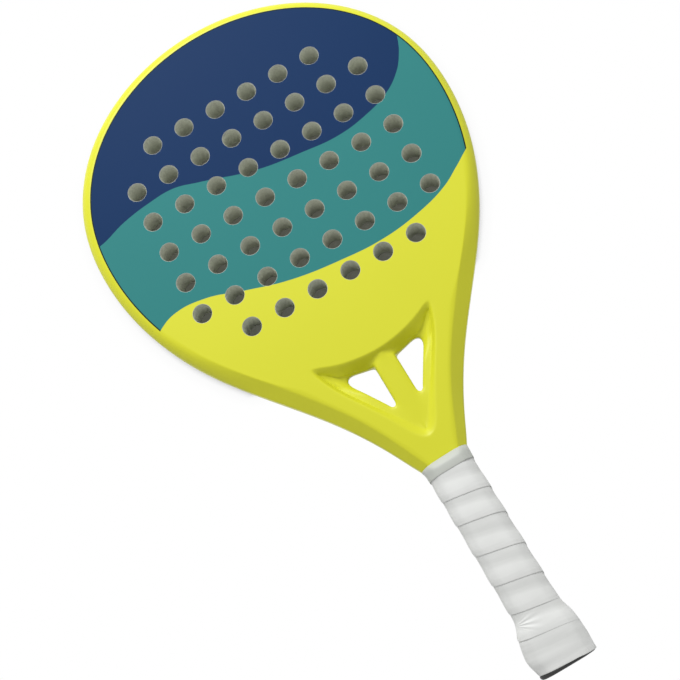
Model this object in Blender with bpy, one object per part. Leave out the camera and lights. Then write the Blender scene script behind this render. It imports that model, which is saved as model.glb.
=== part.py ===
"""Beach tennis racket, lying face up.

X runs across the face, +Y runs from the butt to the tip of the head and +Z points up out of the
front face. The origin is below the middle of the racket, on the surface that it lies on. Lengths
are in metres.
"""

import math

import bmesh
import bpy
import numpy as np

# Overall form
RACKET_LENGTH = 0.4580
DEPTH = 0.0220
BUTT_Y = -RACKET_LENGTH / 2
TIP_Y = RACKET_LENGTH / 2
CLEARANCE = 0.0003

# Half of the outline seen from the front, from the tip down to the top of the handle
OUTLINE = (
    (0.0000, TIP_Y),
    (0.0485, 0.2205),
    (0.0930, 0.1930),
    (0.1188, 0.1530),
    (0.1248, 0.1150),
    (0.1190, 0.0730),
    (0.1022, 0.0330),
    (0.0703, -0.0110),
    (0.0423, -0.0470),
    (0.0243, -0.0770),
    (0.0172, -0.0910),
    (0.0153, -0.0945),
)
NECK_HALF_WIDTH, NECK_Y = OUTLINE[-1]
PATH_SAMPLES = 500
HANDLE_HALF_WIDTH = 0.0116
HANDLE_TAPER = 0.0065
HANDLE_TOP_Y = NECK_Y - HANDLE_TAPER
CAP_FLOOR = 0.0070
TUBE_END_Y = BUTT_Y + CAP_FLOOR

# Frame tube
HOOP_WIDTH = 0.0150
TUBE_WALL = 0.0015
HOLLOW_STEP = 0.0003
EDGE_DEPTH = 0.0070
HANDLE_EDGE = 0.0045
LIP = 0.0008
LIP_SLOPE = 0.00005
SOFT_EDGE = 0.0010
SHOULDER_Y = 0.0330
HEAD_STATION_STEP = 0.0170
THROAT_STEP = 0.0110

# Width of the edge bevel at heights along the racket, and how round it is (1 round, 0 flat)
EDGE_WIDTHS = (
    (HANDLE_TOP_Y, HANDLE_EDGE),
    (NECK_Y, 0.0055),
    (-0.0570, 0.0075),
    (-0.0150, 0.0088),
    (SHOULDER_Y, 0.0075),
)
EDGE_FLAT_Y = 0.0000
EDGE_ROUND_Y = 0.0600

# Throat: two openings with a rib between them, below a bridge that closes the head
BRIDGE_TOP_Y = -0.0050
BRIDGE_TOP_RADIUS = 0.1660
BRIDGE_HALF_SPAN = 0.0620
CREASE_Y = -0.0185
CREASE_RADIUS = 0.0890
CREASE_HALF_SPAN = 0.0400
SCOOP_REACH = 0.0070
OPENING_HALF_SPAN = 0.0258
OPENING_FOOT_Y = -0.0550
SCOOP_EDGE = 0.0035
SCOOP_SAG = 0.0008
RECESS_DEPTH = 0.0029
RECESS_WALL = 0.0026
RIM_HEIGHT = 0.0066
RIB_HALF_WIDTH = 0.0075
RIB_HALF_DEPTH = 0.0080
RIB_BEVEL = 0.0018
CROTCH_Y = -0.0680
VALLEY_Y = -0.0795
ARM_LEDGE = 0.0064
ARM_LEDGE_TOP = 0.0080
ARM_LEDGE_CROTCH = 0.0052

# Faces and core
SKIN = 0.0006
CORE_SPACE = 0.00036
ARC_STEPS = 8
HOLE_DIAMETER = 0.0120
HOLE_PITCH = 0.0230
HOLE_SIDES = 12
HOLE_ROWS = (6, 8, 8, 8, 8, 8, 6)
DRILL_CENTRE = (0.0006, 0.1020)
DRILL_TURN = math.radians(-1.23)

# Handle
GRIP_THICKNESS = 0.0014
GRIP_SHORT = 0.0010
GRIP_TOP_Y = HANDLE_TOP_Y - GRIP_SHORT
WRAP_TOP_Y = -0.0982
CAP_RIM = 0.0033
WRAP_BOTTOM_Y = BUTT_Y + CAP_RIM
WRAP_THICKNESS = 0.0008
WRAP_PITCH = 0.0181
WRAP_LAP = 0.0035
WRAP_RAMP = 0.0025
WRAP_SPACE = 0.0001
WRAP_ROW_GAP = 0.0002
LIFT_START = 0.60
LIFT_END = 0.95
CORNER_SOFTENING = 0.0015
TAPE_OVERHANG = 0.0006
TAPE_TOP_Y = NECK_Y + TAPE_OVERHANG
TAPE_WIDTH = 0.0082
TAPE_THICKNESS = 0.0003
TAPE_SPACE = 0.0001
CAP_LENGTH = 0.0320
CAP_TOP_Y = BUTT_Y + CAP_LENGTH
CAP_WIDE_LENGTH = 0.0120
CAP_FLARE_WIDTH = 0.0048
CAP_FLARE_DEPTH = 0.0019
CAP_END_ROUND = 0.0025
STRAP_HOLE_RADIUS = 0.0035
STRAP_HOLE_SIDES = 12
FOAM_TOP_Y = -0.1100
FOAM_BEVEL = 0.0004

HALF_DEPTH = DEPTH / 2
SEAT = HALF_DEPTH - SKIN - CLEARANCE
WRAP_WIDTH = WRAP_PITCH + WRAP_LAP

# The flared butt is the deepest part, so it sets how high the middle plane lies
BUTT_GROWTH = 2 * CLEARANCE + GRIP_THICKNESS + CAP_FLARE_DEPTH
MID_Z = HALF_DEPTH + BUTT_GROWTH + 2 * WRAP_THICKNESS + WRAP_SPACE


def clear_scene():
    for old in list(bpy.data.objects):
        bpy.data.objects.remove(old, do_unlink=True)


def material(name, color, roughness, metallic=0.0):
    made = bpy.data.materials.new(name)
    made.use_nodes = True
    shader = made.node_tree.nodes["Principled BSDF"]
    shader.inputs["Base Color"].default_value = (*color, 1.0)
    shader.inputs["Roughness"].default_value = roughness
    shader.inputs["Metallic"].default_value = metallic
    made.diffuse_color = (*color, 1.0)
    return made


def finish_object(name, mesh_data, surface):
    """Make an object of a bmesh, with its faces pointing out and its curved sides smooth."""
    bmesh.ops.recalc_face_normals(mesh_data, faces=mesh_data.faces)
    mesh = bpy.data.meshes.new(name)
    mesh_data.to_mesh(mesh)
    mesh_data.free()
    mesh.shade_smooth()
    mesh.set_sharp_from_angle(angle=math.radians(32))
    mesh.materials.append(surface)
    made = bpy.data.objects.new(name, mesh)
    bpy.context.scene.collection.objects.link(made)
    return made


def add_rings(mesh_data, rings):
    """Add rings of points and the band of faces between each ring and the next."""
    rows = []
    for ring in rings:
        rows.append([mesh_data.verts.new(point) for point in ring])
    for lower, upper in zip(rows, rows[1:]):
        count = len(lower)
        for i in range(count):
            j = (i + 1) % count
            mesh_data.faces.new((lower[i], lower[j], upper[j], upper[i]))
    return rows


def loft(name, rings, surface):
    """A solid through a row of rings, closed by a face at each end."""
    mesh_data = bmesh.new()
    rows = add_rings(mesh_data, rings)
    mesh_data.faces.new(rows[0])
    mesh_data.faces.new(rows[-1])
    return finish_object(name, mesh_data, surface)


def pipe(name, outer_rings, inner_rings, surface):
    """A tube through outer and inner rings, open at both ends."""
    mesh_data = bmesh.new()
    outer = add_rings(mesh_data, outer_rings)
    inner = add_rings(mesh_data, inner_rings)
    for end in (0, -1):
        edges = []
        for row in (outer[end], inner[end]):
            for i, corner in enumerate(row):
                edges.append(mesh_data.edges.get((corner, row[(i + 1) % len(row)])))
        bmesh.ops.triangle_fill(mesh_data, use_beauty=True, edges=edges)
    return finish_object(name, mesh_data, surface)


def plate(name, outline, low, high, surface):
    """A flat plate with the given outline between two heights from the middle plane."""
    lower = [(x, y, MID_Z + low) for x, y in outline]
    upper = [(x, y, MID_Z + high) for x, y in outline]
    return loft(name, [lower, upper], surface)


def smooth_path(points, samples):
    """A natural cubic curve through the points, level where it starts at the tip."""
    knots = np.array(points)
    spans = np.linalg.norm(np.diff(knots, axis=0), axis=1)
    count = len(knots)
    system = np.zeros((count, count))
    target = np.zeros((count, 2))
    slopes = np.diff(knots, axis=0) / spans[:, None]
    system[0, 0] = 2 * spans[0]
    system[0, 1] = spans[0]
    target[0] = 6 * (slopes[0] - np.array((1.0, 0.0)))
    for i in range(1, count - 1):
        system[i, i - 1] = spans[i - 1]
        system[i, i] = 2 * (spans[i - 1] + spans[i])
        system[i, i + 1] = spans[i]
        target[i] = 6 * (slopes[i] - slopes[i - 1])
    system[-1, -1] = 1.0
    bends = np.linalg.solve(system, target)
    starts = np.concatenate(([0.0], np.cumsum(spans)))
    path = []
    for place in np.linspace(0.0, starts[-1], samples):
        i = min(int(np.searchsorted(starts, place, side="right")) - 1, count - 2)
        left = place - starts[i]
        right = starts[i + 1] - place
        span = spans[i]
        curve = (bends[i] * right ** 3 + bends[i + 1] * left ** 3) / (6 * span)
        line_start = (knots[i] / span - bends[i] * span / 6) * right
        line_end = (knots[i + 1] / span - bends[i + 1] * span / 6) * left
        path.append(curve + line_start + line_end)
    return np.array(path)


def arc_y(x, bottom_y, radius):
    """Height of an arc that bulges down to bottom_y on the centre line."""
    return bottom_y + radius - math.sqrt(radius ** 2 - x ** 2)


def bridge_top_y(x):
    return arc_y(x, BRIDGE_TOP_Y, BRIDGE_TOP_RADIUS)


def crease_y(x, beyond=0.0):
    """The crease below the head face, or an arc about the same centre further out."""
    return arc_y(x, CREASE_Y - beyond, CREASE_RADIUS + beyond)


def half_outline():
    """Points down the right side of the frame, with the direction that points into the frame."""
    head = smooth_path(OUTLINE, PATH_SAMPLES)
    handle = (
        (HANDLE_HALF_WIDTH, HANDLE_TOP_Y),
        (HANDLE_HALF_WIDTH, HANDLE_TOP_Y - HANDLE_EDGE),
        (HANDLE_HALF_WIDTH, TUBE_END_Y),
    )
    points = np.vstack((head, handle))
    along = np.gradient(points, axis=0)
    along[0] = (1.0, 0.0)
    along[-3:] = (0.0, -1.0)
    along /= np.linalg.norm(along, axis=1)[:, None]
    inward = np.column_stack((along[:, 1], -along[:, 0]))
    return points, inward


def reach_to_path(point, direction, path):
    """Distance from a point, along a direction, to the first stretch of a path that it meets."""
    best = None
    for start, end in zip(path, path[1:]):
        side = np.subtract(end, start)
        across = direction[0] * side[1] - direction[1] * side[0]
        if abs(across) < 1e-12:
            continue
        offset = np.subtract(start, point)
        distance = (offset[0] * side[1] - offset[1] * side[0]) / across
        share = (offset[0] * direction[1] - offset[1] * direction[0]) / across
        if distance > 0 and -1e-6 <= share <= 1 + 1e-6 and (best is None or distance < best):
            best = distance
    return best


def arm_wall():
    """Corners of the inner wall of the right arm, from the head down to the centre line."""
    centre = CLEARANCE / 2
    return {
        "bridge": (BRIDGE_HALF_SPAN, bridge_top_y(BRIDGE_HALF_SPAN)),
        "crease": (CREASE_HALF_SPAN, crease_y(CREASE_HALF_SPAN)),
        "opening": (OPENING_HALF_SPAN, crease_y(OPENING_HALF_SPAN, SCOOP_REACH)),
        "foot": (RIB_HALF_WIDTH, OPENING_FOOT_Y),
        "crotch": (centre, CROTCH_Y),
        "valley": (centre, VALLEY_Y),
        "end": (centre, TUBE_END_Y - HOOP_WIDTH),
    }


def measure_stations():
    """Where the frame tube is cut into sections: outer point, inward direction and width."""
    points, inward = half_outline()
    walls = arm_wall()
    shoulder = int(np.argmin(np.abs(points[:, 1] - SHOULDER_Y)))
    first = points[shoulder] + inward[shoulder] * HOOP_WIDTH
    path = [first, *walls.values()]
    widths = []
    for i, (point, direction) in enumerate(zip(points, inward)):
        if i <= shoulder:
            widths.append(HOOP_WIDTH)
        else:
            widths.append(reach_to_path(point, direction, path))
    widths = np.array(widths)
    inner = points + inward * widths[:, None]
    picks = {0, shoulder, len(points) - 4, len(points) - 3, len(points) - 2, len(points) - 1}
    for corner in ("bridge", "crease", "opening", "foot", "crotch", "valley"):
        picks.add(int(np.argmin(np.linalg.norm(inner - walls[corner], axis=1))))
    crease = int(np.argmin(np.linalg.norm(inner - walls["crease"], axis=1)))
    lengths = np.concatenate(([0.0], np.cumsum(np.linalg.norm(np.diff(points, axis=0), axis=1))))
    last = 0
    for i in range(1, len(points) - 4):
        step = HEAD_STATION_STEP if i <= shoulder else THROAT_STEP
        if i in picks:
            last = i
        elif lengths[i] - lengths[last] >= step and not any(p in picks for p in range(i, i + 4)):
            picks.add(i)
            last = i
    stations = []
    for i in sorted(picks):
        stations.append((points[i], inward[i], widths[i], i <= crease))
        if i == crease:
            nudge = (points[i + 1] - points[i]) * 0.4
            stations.append((points[i] + nudge, inward[i], widths[i], False))
    return stations


def table_value(table, place):
    places = [row[0] for row in table]
    values = [row[1] for row in table]
    return float(np.interp(place, places, values))


def edge_sizes(y):
    """Width, depth and roundness of the outer edge bevel at a height along the racket."""
    width = table_value(EDGE_WIDTHS, y)
    depth = min(EDGE_DEPTH, width)
    roundness = min(max((y - EDGE_FLAT_Y) / (EDGE_ROUND_Y - EDGE_FLAT_Y), 0.0), 1.0)
    return width, depth, roundness


def arm_sizes(inner_y):
    """Width of the recess inside the arm, the height of its floor and the height of its rim."""
    walls = arm_wall()
    places = (VALLEY_Y, CROTCH_Y, OPENING_FOOT_Y, walls["opening"][1], walls["crease"][1])
    low = HALF_DEPTH - SOFT_EDGE
    seated = SEAT - SOFT_EDGE
    floor = HALF_DEPTH - RECESS_DEPTH
    ledges = (SOFT_EDGE, ARM_LEDGE_CROTCH, ARM_LEDGE, ARM_LEDGE_TOP, SOFT_EDGE)
    floors = ((HALF_DEPTH + low) / 2, floor, floor, floor, (SEAT + seated) / 2)
    rims = (low, RIB_HALF_DEPTH, RIM_HEIGHT, RIM_HEIGHT, seated)
    return [float(np.interp(inner_y, places, values)) for values in (ledges, floors, rims)]


def frame_section(point, direction, width, seated):
    """One ring round the frame tube, and one round its hollow."""
    edge, depth, roundness = edge_sizes(point[1])
    inner = point + direction * width
    ledge, floor_height, rim_height = arm_sizes(inner[1])
    side = HALF_DEPTH - depth
    top = SEAT if seated else HALF_DEPTH
    profile = [(0.0, side)]
    for share in (1 / 3, 2 / 3):
        angle = share * math.pi / 2
        flat = (edge * share, side + depth * share)
        curved = (edge * (1 - math.cos(angle)), side + depth * math.sin(angle))
        blend = [f + (c - f) * roundness for f, c in zip(flat, curved)]
        profile.append(tuple(blend))
    profile.append((edge, HALF_DEPTH))
    profile.append((edge + LIP, HALF_DEPTH))
    profile.append((edge + LIP + LIP_SLOPE, top))
    profile.append((width - ledge, top))
    profile.append((width - ledge + min(RECESS_WALL, ledge / 2), floor_height))
    profile.append((width, rim_height))
    far = width - TUBE_WALL
    near = edge + TUBE_WALL / 2
    turn = max(min(width - ledge - TUBE_WALL / 2, far - 2 * HOLLOW_STEP), near + HOLLOW_STEP)
    ceiling = SEAT - TUBE_WALL
    hollow = [
        (TUBE_WALL, side - TUBE_WALL / 2),
        (near, ceiling),
        (turn, ceiling),
        (max(far, turn + HOLLOW_STEP), min(rim_height, ceiling) - TUBE_WALL),
    ]
    rings = []
    for shape in (profile, hollow):
        upper = [(*(point + direction * d), MID_Z + z) for d, z in shape]
        lower = [(*(point + direction * d), MID_Z - z) for d, z in reversed(shape)]
        rings.append(upper + lower)
    return rings


def mirrored(rings):
    """The rings followed by their mirror images across the centre line, back to the start."""
    left = []
    for ring in rings:
        left.append([(-x, y, z) for x, y, z in ring])
    return list(reversed(left[1:])) + rings


def build_frame_tube(stations, surface):
    outer = []
    hollow = []
    for station in stations:
        ring, inside = frame_section(*station)
        outer.append(ring)
        hollow.append(inside)
    return pipe("frame_tube", mirrored(outer), mirrored(hollow), surface)


def close_outline(right_side):
    """A closed outline from the points of its right side, which start on the centre line."""
    left_side = [(-x, y) for x, y in reversed(right_side[1:])]
    return [tuple(point) for point in right_side] + left_side


def build_core(stations, surface):
    """Foam that fills the hoop down to the bridge."""
    side = []
    for point, direction, width, _ in stations:
        inner = point + direction * (width + CLEARANCE)
        if inner[1] > bridge_top_y(min(inner[0], BRIDGE_HALF_SPAN)) + 2 * CLEARANCE:
            side.append(inner)
    for x in np.linspace(BRIDGE_HALF_SPAN - 2 * CLEARANCE, 0.0, ARC_STEPS)[:-1]:
        side.append((x, bridge_top_y(x) + CORE_SPACE))
    outline = close_outline([(0.0, TIP_Y - HOOP_WIDTH - CLEARANCE)] + side[1:])
    return plate("foam_core", outline, -SEAT, SEAT, surface)


def face_outline(stations):
    """Outline of the laminate that lies in the rebate of the frame and ends at the crease."""
    side = []
    for point, direction, _, seated in stations:
        if seated:
            edge = edge_sizes(point[1])[0]
            side.append(point + direction * (edge + LIP + CLEARANCE))
    above = np.array(side[-2]) - np.array(side[-1])
    side[-1] = side[-1] + above / np.linalg.norm(above) * 2 * CLEARANCE
    inset = LIP + CLEARANCE
    reach = CREASE_HALF_SPAN * (1 - inset / CREASE_RADIUS)
    for x in np.linspace(reach, 0.0, ARC_STEPS)[:-1]:
        side.append((x, crease_y(x, -inset)))
    return close_outline(side)


def build_faces(stations, surface):
    outline = face_outline(stations)
    front = plate("front_face", outline, HALF_DEPTH - SKIN, HALF_DEPTH, surface)
    back = plate("back_face", outline, -HALF_DEPTH, SKIN - HALF_DEPTH, surface)
    return front, back


def hole_places():
    """Centres of the drilled holes, row by row from the throat to the tip."""
    places = []
    middle = (len(HOLE_ROWS) - 1) / 2
    for row, count in enumerate(HOLE_ROWS):
        up = (row - middle) * HOLE_PITCH
        for column in range(count):
            across = (column - (count - 1) / 2) * HOLE_PITCH
            x = DRILL_CENTRE[0] + across * math.cos(DRILL_TURN) - up * math.sin(DRILL_TURN)
            y = DRILL_CENTRE[1] + across * math.sin(DRILL_TURN) + up * math.cos(DRILL_TURN)
            places.append((x, y))
    return places


def drill(plates):
    """Drill the core and both faces with one pattern of holes."""
    mesh_data = bmesh.new()
    for x, y in hole_places():
        made = bmesh.ops.create_cone(
            mesh_data,
            cap_ends=True,
            segments=HOLE_SIDES,
            radius1=HOLE_DIAMETER / 2,
            radius2=HOLE_DIAMETER / 2,
            depth=2 * DEPTH,
        )
        bmesh.ops.translate(mesh_data, verts=made["verts"], vec=(x, y, MID_Z))
    cutter = finish_object("drill_cutter", mesh_data, plates[0].data.materials[0])
    cutter.hide_render = True
    cutter.display_type = "WIRE"
    for target in plates:
        cut = target.modifiers.new("drilled holes", "BOOLEAN")
        cut.operation = "DIFFERENCE"
        cut.object = cutter


def scoop_profile():
    """Distance beyond the crease and height of the slope from the face to the opening."""
    middle = (HALF_DEPTH + SCOOP_EDGE) / 2 - SCOOP_SAG
    return ((0.0, HALF_DEPTH), (SCOOP_REACH / 2, middle), (SCOOP_REACH, SCOOP_EDGE))


def scoop_span(beyond):
    """Half of the bridge's length along an arc beyond the crease, out to the wall of the arm."""
    walls = arm_wall()
    across = np.linspace(OPENING_HALF_SPAN, CREASE_HALF_SPAN, PATH_SAMPLES)
    ends = (walls["opening"], walls["crease"])
    wall = np.interp(across, [end[0] for end in ends], [end[1] for end in ends])
    arc = np.array([crease_y(x, beyond) for x in across])
    return float(across[np.argmin(np.abs(arc - wall))])


def build_bridge(surface):
    """Beam across the throat, seated under the faces and scooped down to the openings."""
    end_space = 2 * CLEARANCE
    spans = {beyond: scoop_span(beyond) for beyond, _ in scoop_profile()}
    rings = []
    for share in np.linspace(-1.0, 1.0, 15):
        upper_x = share * (BRIDGE_HALF_SPAN - end_space)
        crease_x = share * (CREASE_HALF_SPAN - end_space)
        lip_x = crease_x * (1 - LIP / CREASE_RADIUS)
        shape = [
            (upper_x, bridge_top_y(upper_x), SEAT),
            (lip_x, crease_y(lip_x, -LIP), SEAT),
            (lip_x, crease_y(lip_x, -LIP), HALF_DEPTH),
        ]
        for beyond, height in scoop_profile():
            x = share * (spans[beyond] - end_space)
            shape.append((x, crease_y(x, beyond), height))
        upper = [(x, y, MID_Z + z) for x, y, z in shape]
        lower = [(x, y, MID_Z - z) for x, y, z in reversed(shape)]
        rings.append(upper + lower)
    return loft("throat_bridge", rings, surface)


def build_rib(surface):
    """Centre rib, from the scoop of the bridge to the crotch where the arms meet."""
    narrow = (RIB_HALF_WIDTH - RIB_BEVEL) / RIB_HALF_WIDTH
    right = ((1.0, SCOOP_EDGE), (1.0, RIM_HEIGHT), (narrow, RIB_HALF_DEPTH))
    upper = right + tuple((-part, height) for part, height in reversed(right))
    section = upper + tuple((part, -height) for part, height in reversed(upper))
    heights = [row[1] for row in reversed(scoop_profile())]
    reaches = [row[0] for row in reversed(scoop_profile())]
    top = []
    for part, height in section:
        beyond = float(np.interp(abs(height), heights, reaches))
        y = CREASE_Y - beyond - 2 * CLEARANCE
        top.append((part * RIB_HALF_WIDTH, y, MID_Z + height))
    rings = [top]
    wedge_top = OPENING_FOOT_Y + 3 * CLEARANCE
    wedge_end = CROTCH_Y + 4 * CLEARANCE
    for place in (wedge_top, (wedge_top + wedge_end) / 2, wedge_end):
        half = np.interp(place, (wedge_end, wedge_top), (CLEARANCE, RIB_HALF_WIDTH))
        rings.append([(part * half, place, MID_Z + height) for part, height in section])
    mesh_data = bmesh.new()
    rows = add_rings(mesh_data, rings)
    for row in (rows[0], rows[-1]):
        for corners in ((1, 2, 3, 4), (0, 1, 4, 5), (0, 5, 6, 11), (6, 7, 10, 11), (7, 8, 9, 10)):
            mesh_data.faces.new([row[corner] for corner in corners])
    return finish_object("throat_rib", mesh_data, surface)


def handle_ring(y, offset_x, offset_z, softening=CORNER_SOFTENING):
    """Ring of an eight-sided handle, grown outwards, with each corner cut by the softening."""
    half_x = HANDLE_HALF_WIDTH + offset_x
    half_z = HALF_DEPTH + offset_z
    bevel = HANDLE_EDGE + (2 - math.sqrt(2)) * min(offset_x, offset_z)
    corners = [
        (-(half_x - bevel), half_z),
        (-half_x, half_z - bevel),
        (-half_x, -(half_z - bevel)),
        (-(half_x - bevel), -half_z),
        (half_x - bevel, -half_z),
        (half_x, -(half_z - bevel)),
        (half_x, half_z - bevel),
        (half_x - bevel, half_z),
    ]
    ring = []
    count = len(corners)
    for i, corner in enumerate(corners):
        for neighbour in (corners[i - 1], corners[(i + 1) % count]):
            gap = np.subtract(neighbour, corner)
            step = gap / np.linalg.norm(gap) * softening
            ring.append((corner[0] + step[0], y, MID_Z + corner[1] + step[1]))
    return ring


def build_base_grip(surface):
    inner = []
    outer = []
    bottom = CAP_TOP_Y + CLEARANCE
    for y in (bottom, GRIP_TOP_Y):
        inner.append(handle_ring(y, CLEARANCE, CLEARANCE, CLEARANCE / 2))
        grown = CLEARANCE + GRIP_THICKNESS
        outer.append(handle_ring(y, grown, grown))
    return pipe("base_grip", outer, inner, surface)


def cap_growth(y):
    """How far the butt cap stands out from the handle, across and through."""
    seat = CLEARANCE + GRIP_THICKNESS
    rise = np.clip((CAP_TOP_Y - y) / (CAP_LENGTH - CAP_WIDE_LENGTH), 0.0, 1.0)
    swell = math.sin(rise * math.pi / 2)
    close = np.clip((y - BUTT_Y) / CAP_END_ROUND, 0.0, 1.0)
    tuck = (1 - math.sqrt(1 - (1 - close) ** 2)) * CAP_END_ROUND / 2
    return seat + CAP_FLARE_WIDTH * swell - tuck, seat + CAP_FLARE_DEPTH * swell - tuck


def build_butt_cap(surface):
    """Flared cap over the end of the handle, with a hole for a wrist cord."""
    outer = []
    for share in (0.0, 0.05, 0.10, 0.25, 0.45, 0.65, 0.85, 1.0):
        y = BUTT_Y + share * (CAP_TOP_Y - BUTT_Y)
        outer.append(handle_ring(y, *cap_growth(y)))
    floor_y = TUBE_END_Y - CLEARANCE
    inner = []
    for y in (floor_y, CAP_TOP_Y):
        inner.append(handle_ring(y, CLEARANCE, CLEARANCE, CLEARANCE / 2))
    mesh_data = bmesh.new()
    outside = add_rings(mesh_data, outer)
    inside = add_rings(mesh_data, inner)
    hole = []
    for y in (BUTT_Y, floor_y):
        ring = []
        for i in range(STRAP_HOLE_SIDES):
            angle = i * math.tau / STRAP_HOLE_SIDES
            x = STRAP_HOLE_RADIUS * math.sin(angle)
            ring.append((x, y, MID_Z + STRAP_HOLE_RADIUS * math.cos(angle)))
        hole.append(ring)
    bore = add_rings(mesh_data, hole)
    for first, second in ((outside[0], bore[0]), (inside[0], bore[1]), (outside[-1], inside[-1])):
        edges = []
        for row in (first, second):
            for i, corner in enumerate(row):
                edges.append(mesh_data.edges.get((corner, row[(i + 1) % len(row)])))
        bmesh.ops.triangle_fill(mesh_data, use_beauty=True, edges=edges)
    return finish_object("butt_cap", mesh_data, surface)


def wrap_seat(y):
    """How far the underside of the overgrip lies outside the handle, across and through."""
    seat = 2 * CLEARANCE + GRIP_THICKNESS
    if y < CAP_TOP_Y:
        across, through = cap_growth(max(y, WRAP_BOTTOM_Y))
        return across + CLEARANCE, through + CLEARANCE
    return seat, seat


def build_overgrip(surface):
    """One strap wound from the butt to the throat, each turn lapping the turn below it."""
    lifted = WRAP_THICKNESS + WRAP_SPACE
    under = [(0.0, lifted), (WRAP_LAP, lifted)]
    for along in np.linspace(WRAP_LAP + WRAP_RAMP, WRAP_WIDTH, 4):
        under.append((float(along), 0.0))
    handle = np.array(handle_ring(0.0, 0.0, 0.0))
    sides = np.linalg.norm(np.diff(handle, axis=0, append=handle[:1]), axis=1)
    shares = (np.cumsum(sides) - sides + sides[-1] / 2) / sides.sum()
    last_start = WRAP_TOP_Y - WRAP_LAP - 2 * CLEARANCE
    turns = 1 + (last_start - WRAP_BOTTOM_Y) / WRAP_PITCH
    rings = []
    for turn in range(int(turns) + 1):
        for corner, share in enumerate(shares):
            place = turn + share
            if place > turns:
                continue
            start = WRAP_BOTTOM_Y + WRAP_PITCH * (place - 1)
            lift = float(np.interp(place, (LIFT_START, LIFT_END), (0.0, 1.0)))
            ring = []
            for extra in (0.0, WRAP_THICKNESS):
                row = []
                for i, (along, height) in enumerate(under):
                    low = WRAP_BOTTOM_Y + WRAP_ROW_GAP * i
                    high = WRAP_TOP_Y - WRAP_ROW_GAP * (len(under) - 1 - i)
                    y = min(max(start + along, low), high)
                    across, through = wrap_seat(y)
                    rise = height * lift + extra
                    ends = handle_ring(y, across + rise, through + rise)
                    row.append(ends[corner])
                ring += row if extra == 0.0 else list(reversed(row))
            rings.append(ring)
    return loft("overgrip", rings, surface)


def build_tape(surface):
    """Finishing tape that covers the top edge of the overgrip."""
    over_wrap = wrap_seat(GRIP_TOP_Y)[0] + 2 * WRAP_THICKNESS + WRAP_SPACE + TAPE_SPACE
    neck = NECK_HALF_WIDTH - HANDLE_HALF_WIDTH + 2 * CLEARANCE
    rows = (
        (TAPE_TOP_Y - TAPE_WIDTH, over_wrap, over_wrap),
        (WRAP_TOP_Y + CLEARANCE, over_wrap, over_wrap),
        (TAPE_TOP_Y, neck, CLEARANCE),
    )
    inner = []
    outer = []
    for y, across, through in rows:
        inner.append(handle_ring(y, across, through))
        outer.append(handle_ring(y, across + TAPE_THICKNESS, through + TAPE_THICKNESS))
    return pipe("finishing_tape", outer, inner, surface)


def build_handle_foam(side, surface):
    """Foam plug in one end of the frame tube."""
    left = TUBE_WALL + CLEARANCE
    near = HANDLE_EDGE + TUBE_WALL / 2 + CLEARANCE
    far = HANDLE_HALF_WIDTH - CLEARANCE / 2 - TUBE_WALL - CLEARANCE
    side_height = HALF_DEPTH - HANDLE_EDGE - TUBE_WALL / 2 - CLEARANCE
    ceiling = SEAT - TUBE_WALL - CLEARANCE
    wall = ceiling - TUBE_WALL / 2
    shape = [(left, side_height), (near, ceiling), (far - FOAM_BEVEL, ceiling), (far, wall)]
    rings = []
    for y in (TUBE_END_Y + CLEARANCE, FOAM_TOP_Y):
        upper = [(side * (HANDLE_HALF_WIDTH - d), y, MID_Z + z) for d, z in shape]
        lower = [(x, y, 2 * MID_Z - z) for x, y, z in reversed(upper)]
        rings.append(upper + lower)
    name = "handle_foam_right" if side > 0 else "handle_foam_left"
    return loft(name, rings, surface)


def build_racket():
    lime = material("lime paint", (0.71, 0.75, 0.07), 0.35)
    teal = material("teal paint", (0.06, 0.25, 0.25), 0.35)
    foam = material("EVA foam", (0.30, 0.31, 0.25), 0.85)
    filler = material("handle foam", (0.72, 0.62, 0.40), 0.90)
    cushion = material("cushion grip", (0.05, 0.05, 0.05), 0.80)
    wrap = material("overgrip", (0.68, 0.69, 0.67), 0.60)
    tape = material("finishing tape", (0.60, 0.61, 0.60), 0.45)
    black = material("black rubber", (0.02, 0.02, 0.02), 0.60)
    stations = measure_stations()
    build_frame_tube(stations, lime)
    core = build_core(stations, foam)
    front, back = build_faces(stations, teal)
    drill((core, front, back))
    build_bridge(lime)
    build_rib(lime)
    build_handle_foam(1, filler)
    build_handle_foam(-1, filler)
    build_base_grip(cushion)
    build_butt_cap(black)
    build_overgrip(wrap)
    build_tape(tape)


clear_scene()
build_racket()
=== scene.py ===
# %% [markdown]
# # A beach tennis racket, dressed for its picture
#
# The racket lies face up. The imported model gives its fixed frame: every piece below is set by the
# sizes of that frame, so that nothing has to be fitted afterwards. X runs across the face, Y runs
# from the butt to the tip and Z points up out of the front face. Lengths are in metres, and lists
# of places are in millimetres and are multiplied by MM.

# %% Load the frame
import math

import bmesh
import bpy
import numpy as np
from mathutils import Matrix, Vector


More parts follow.
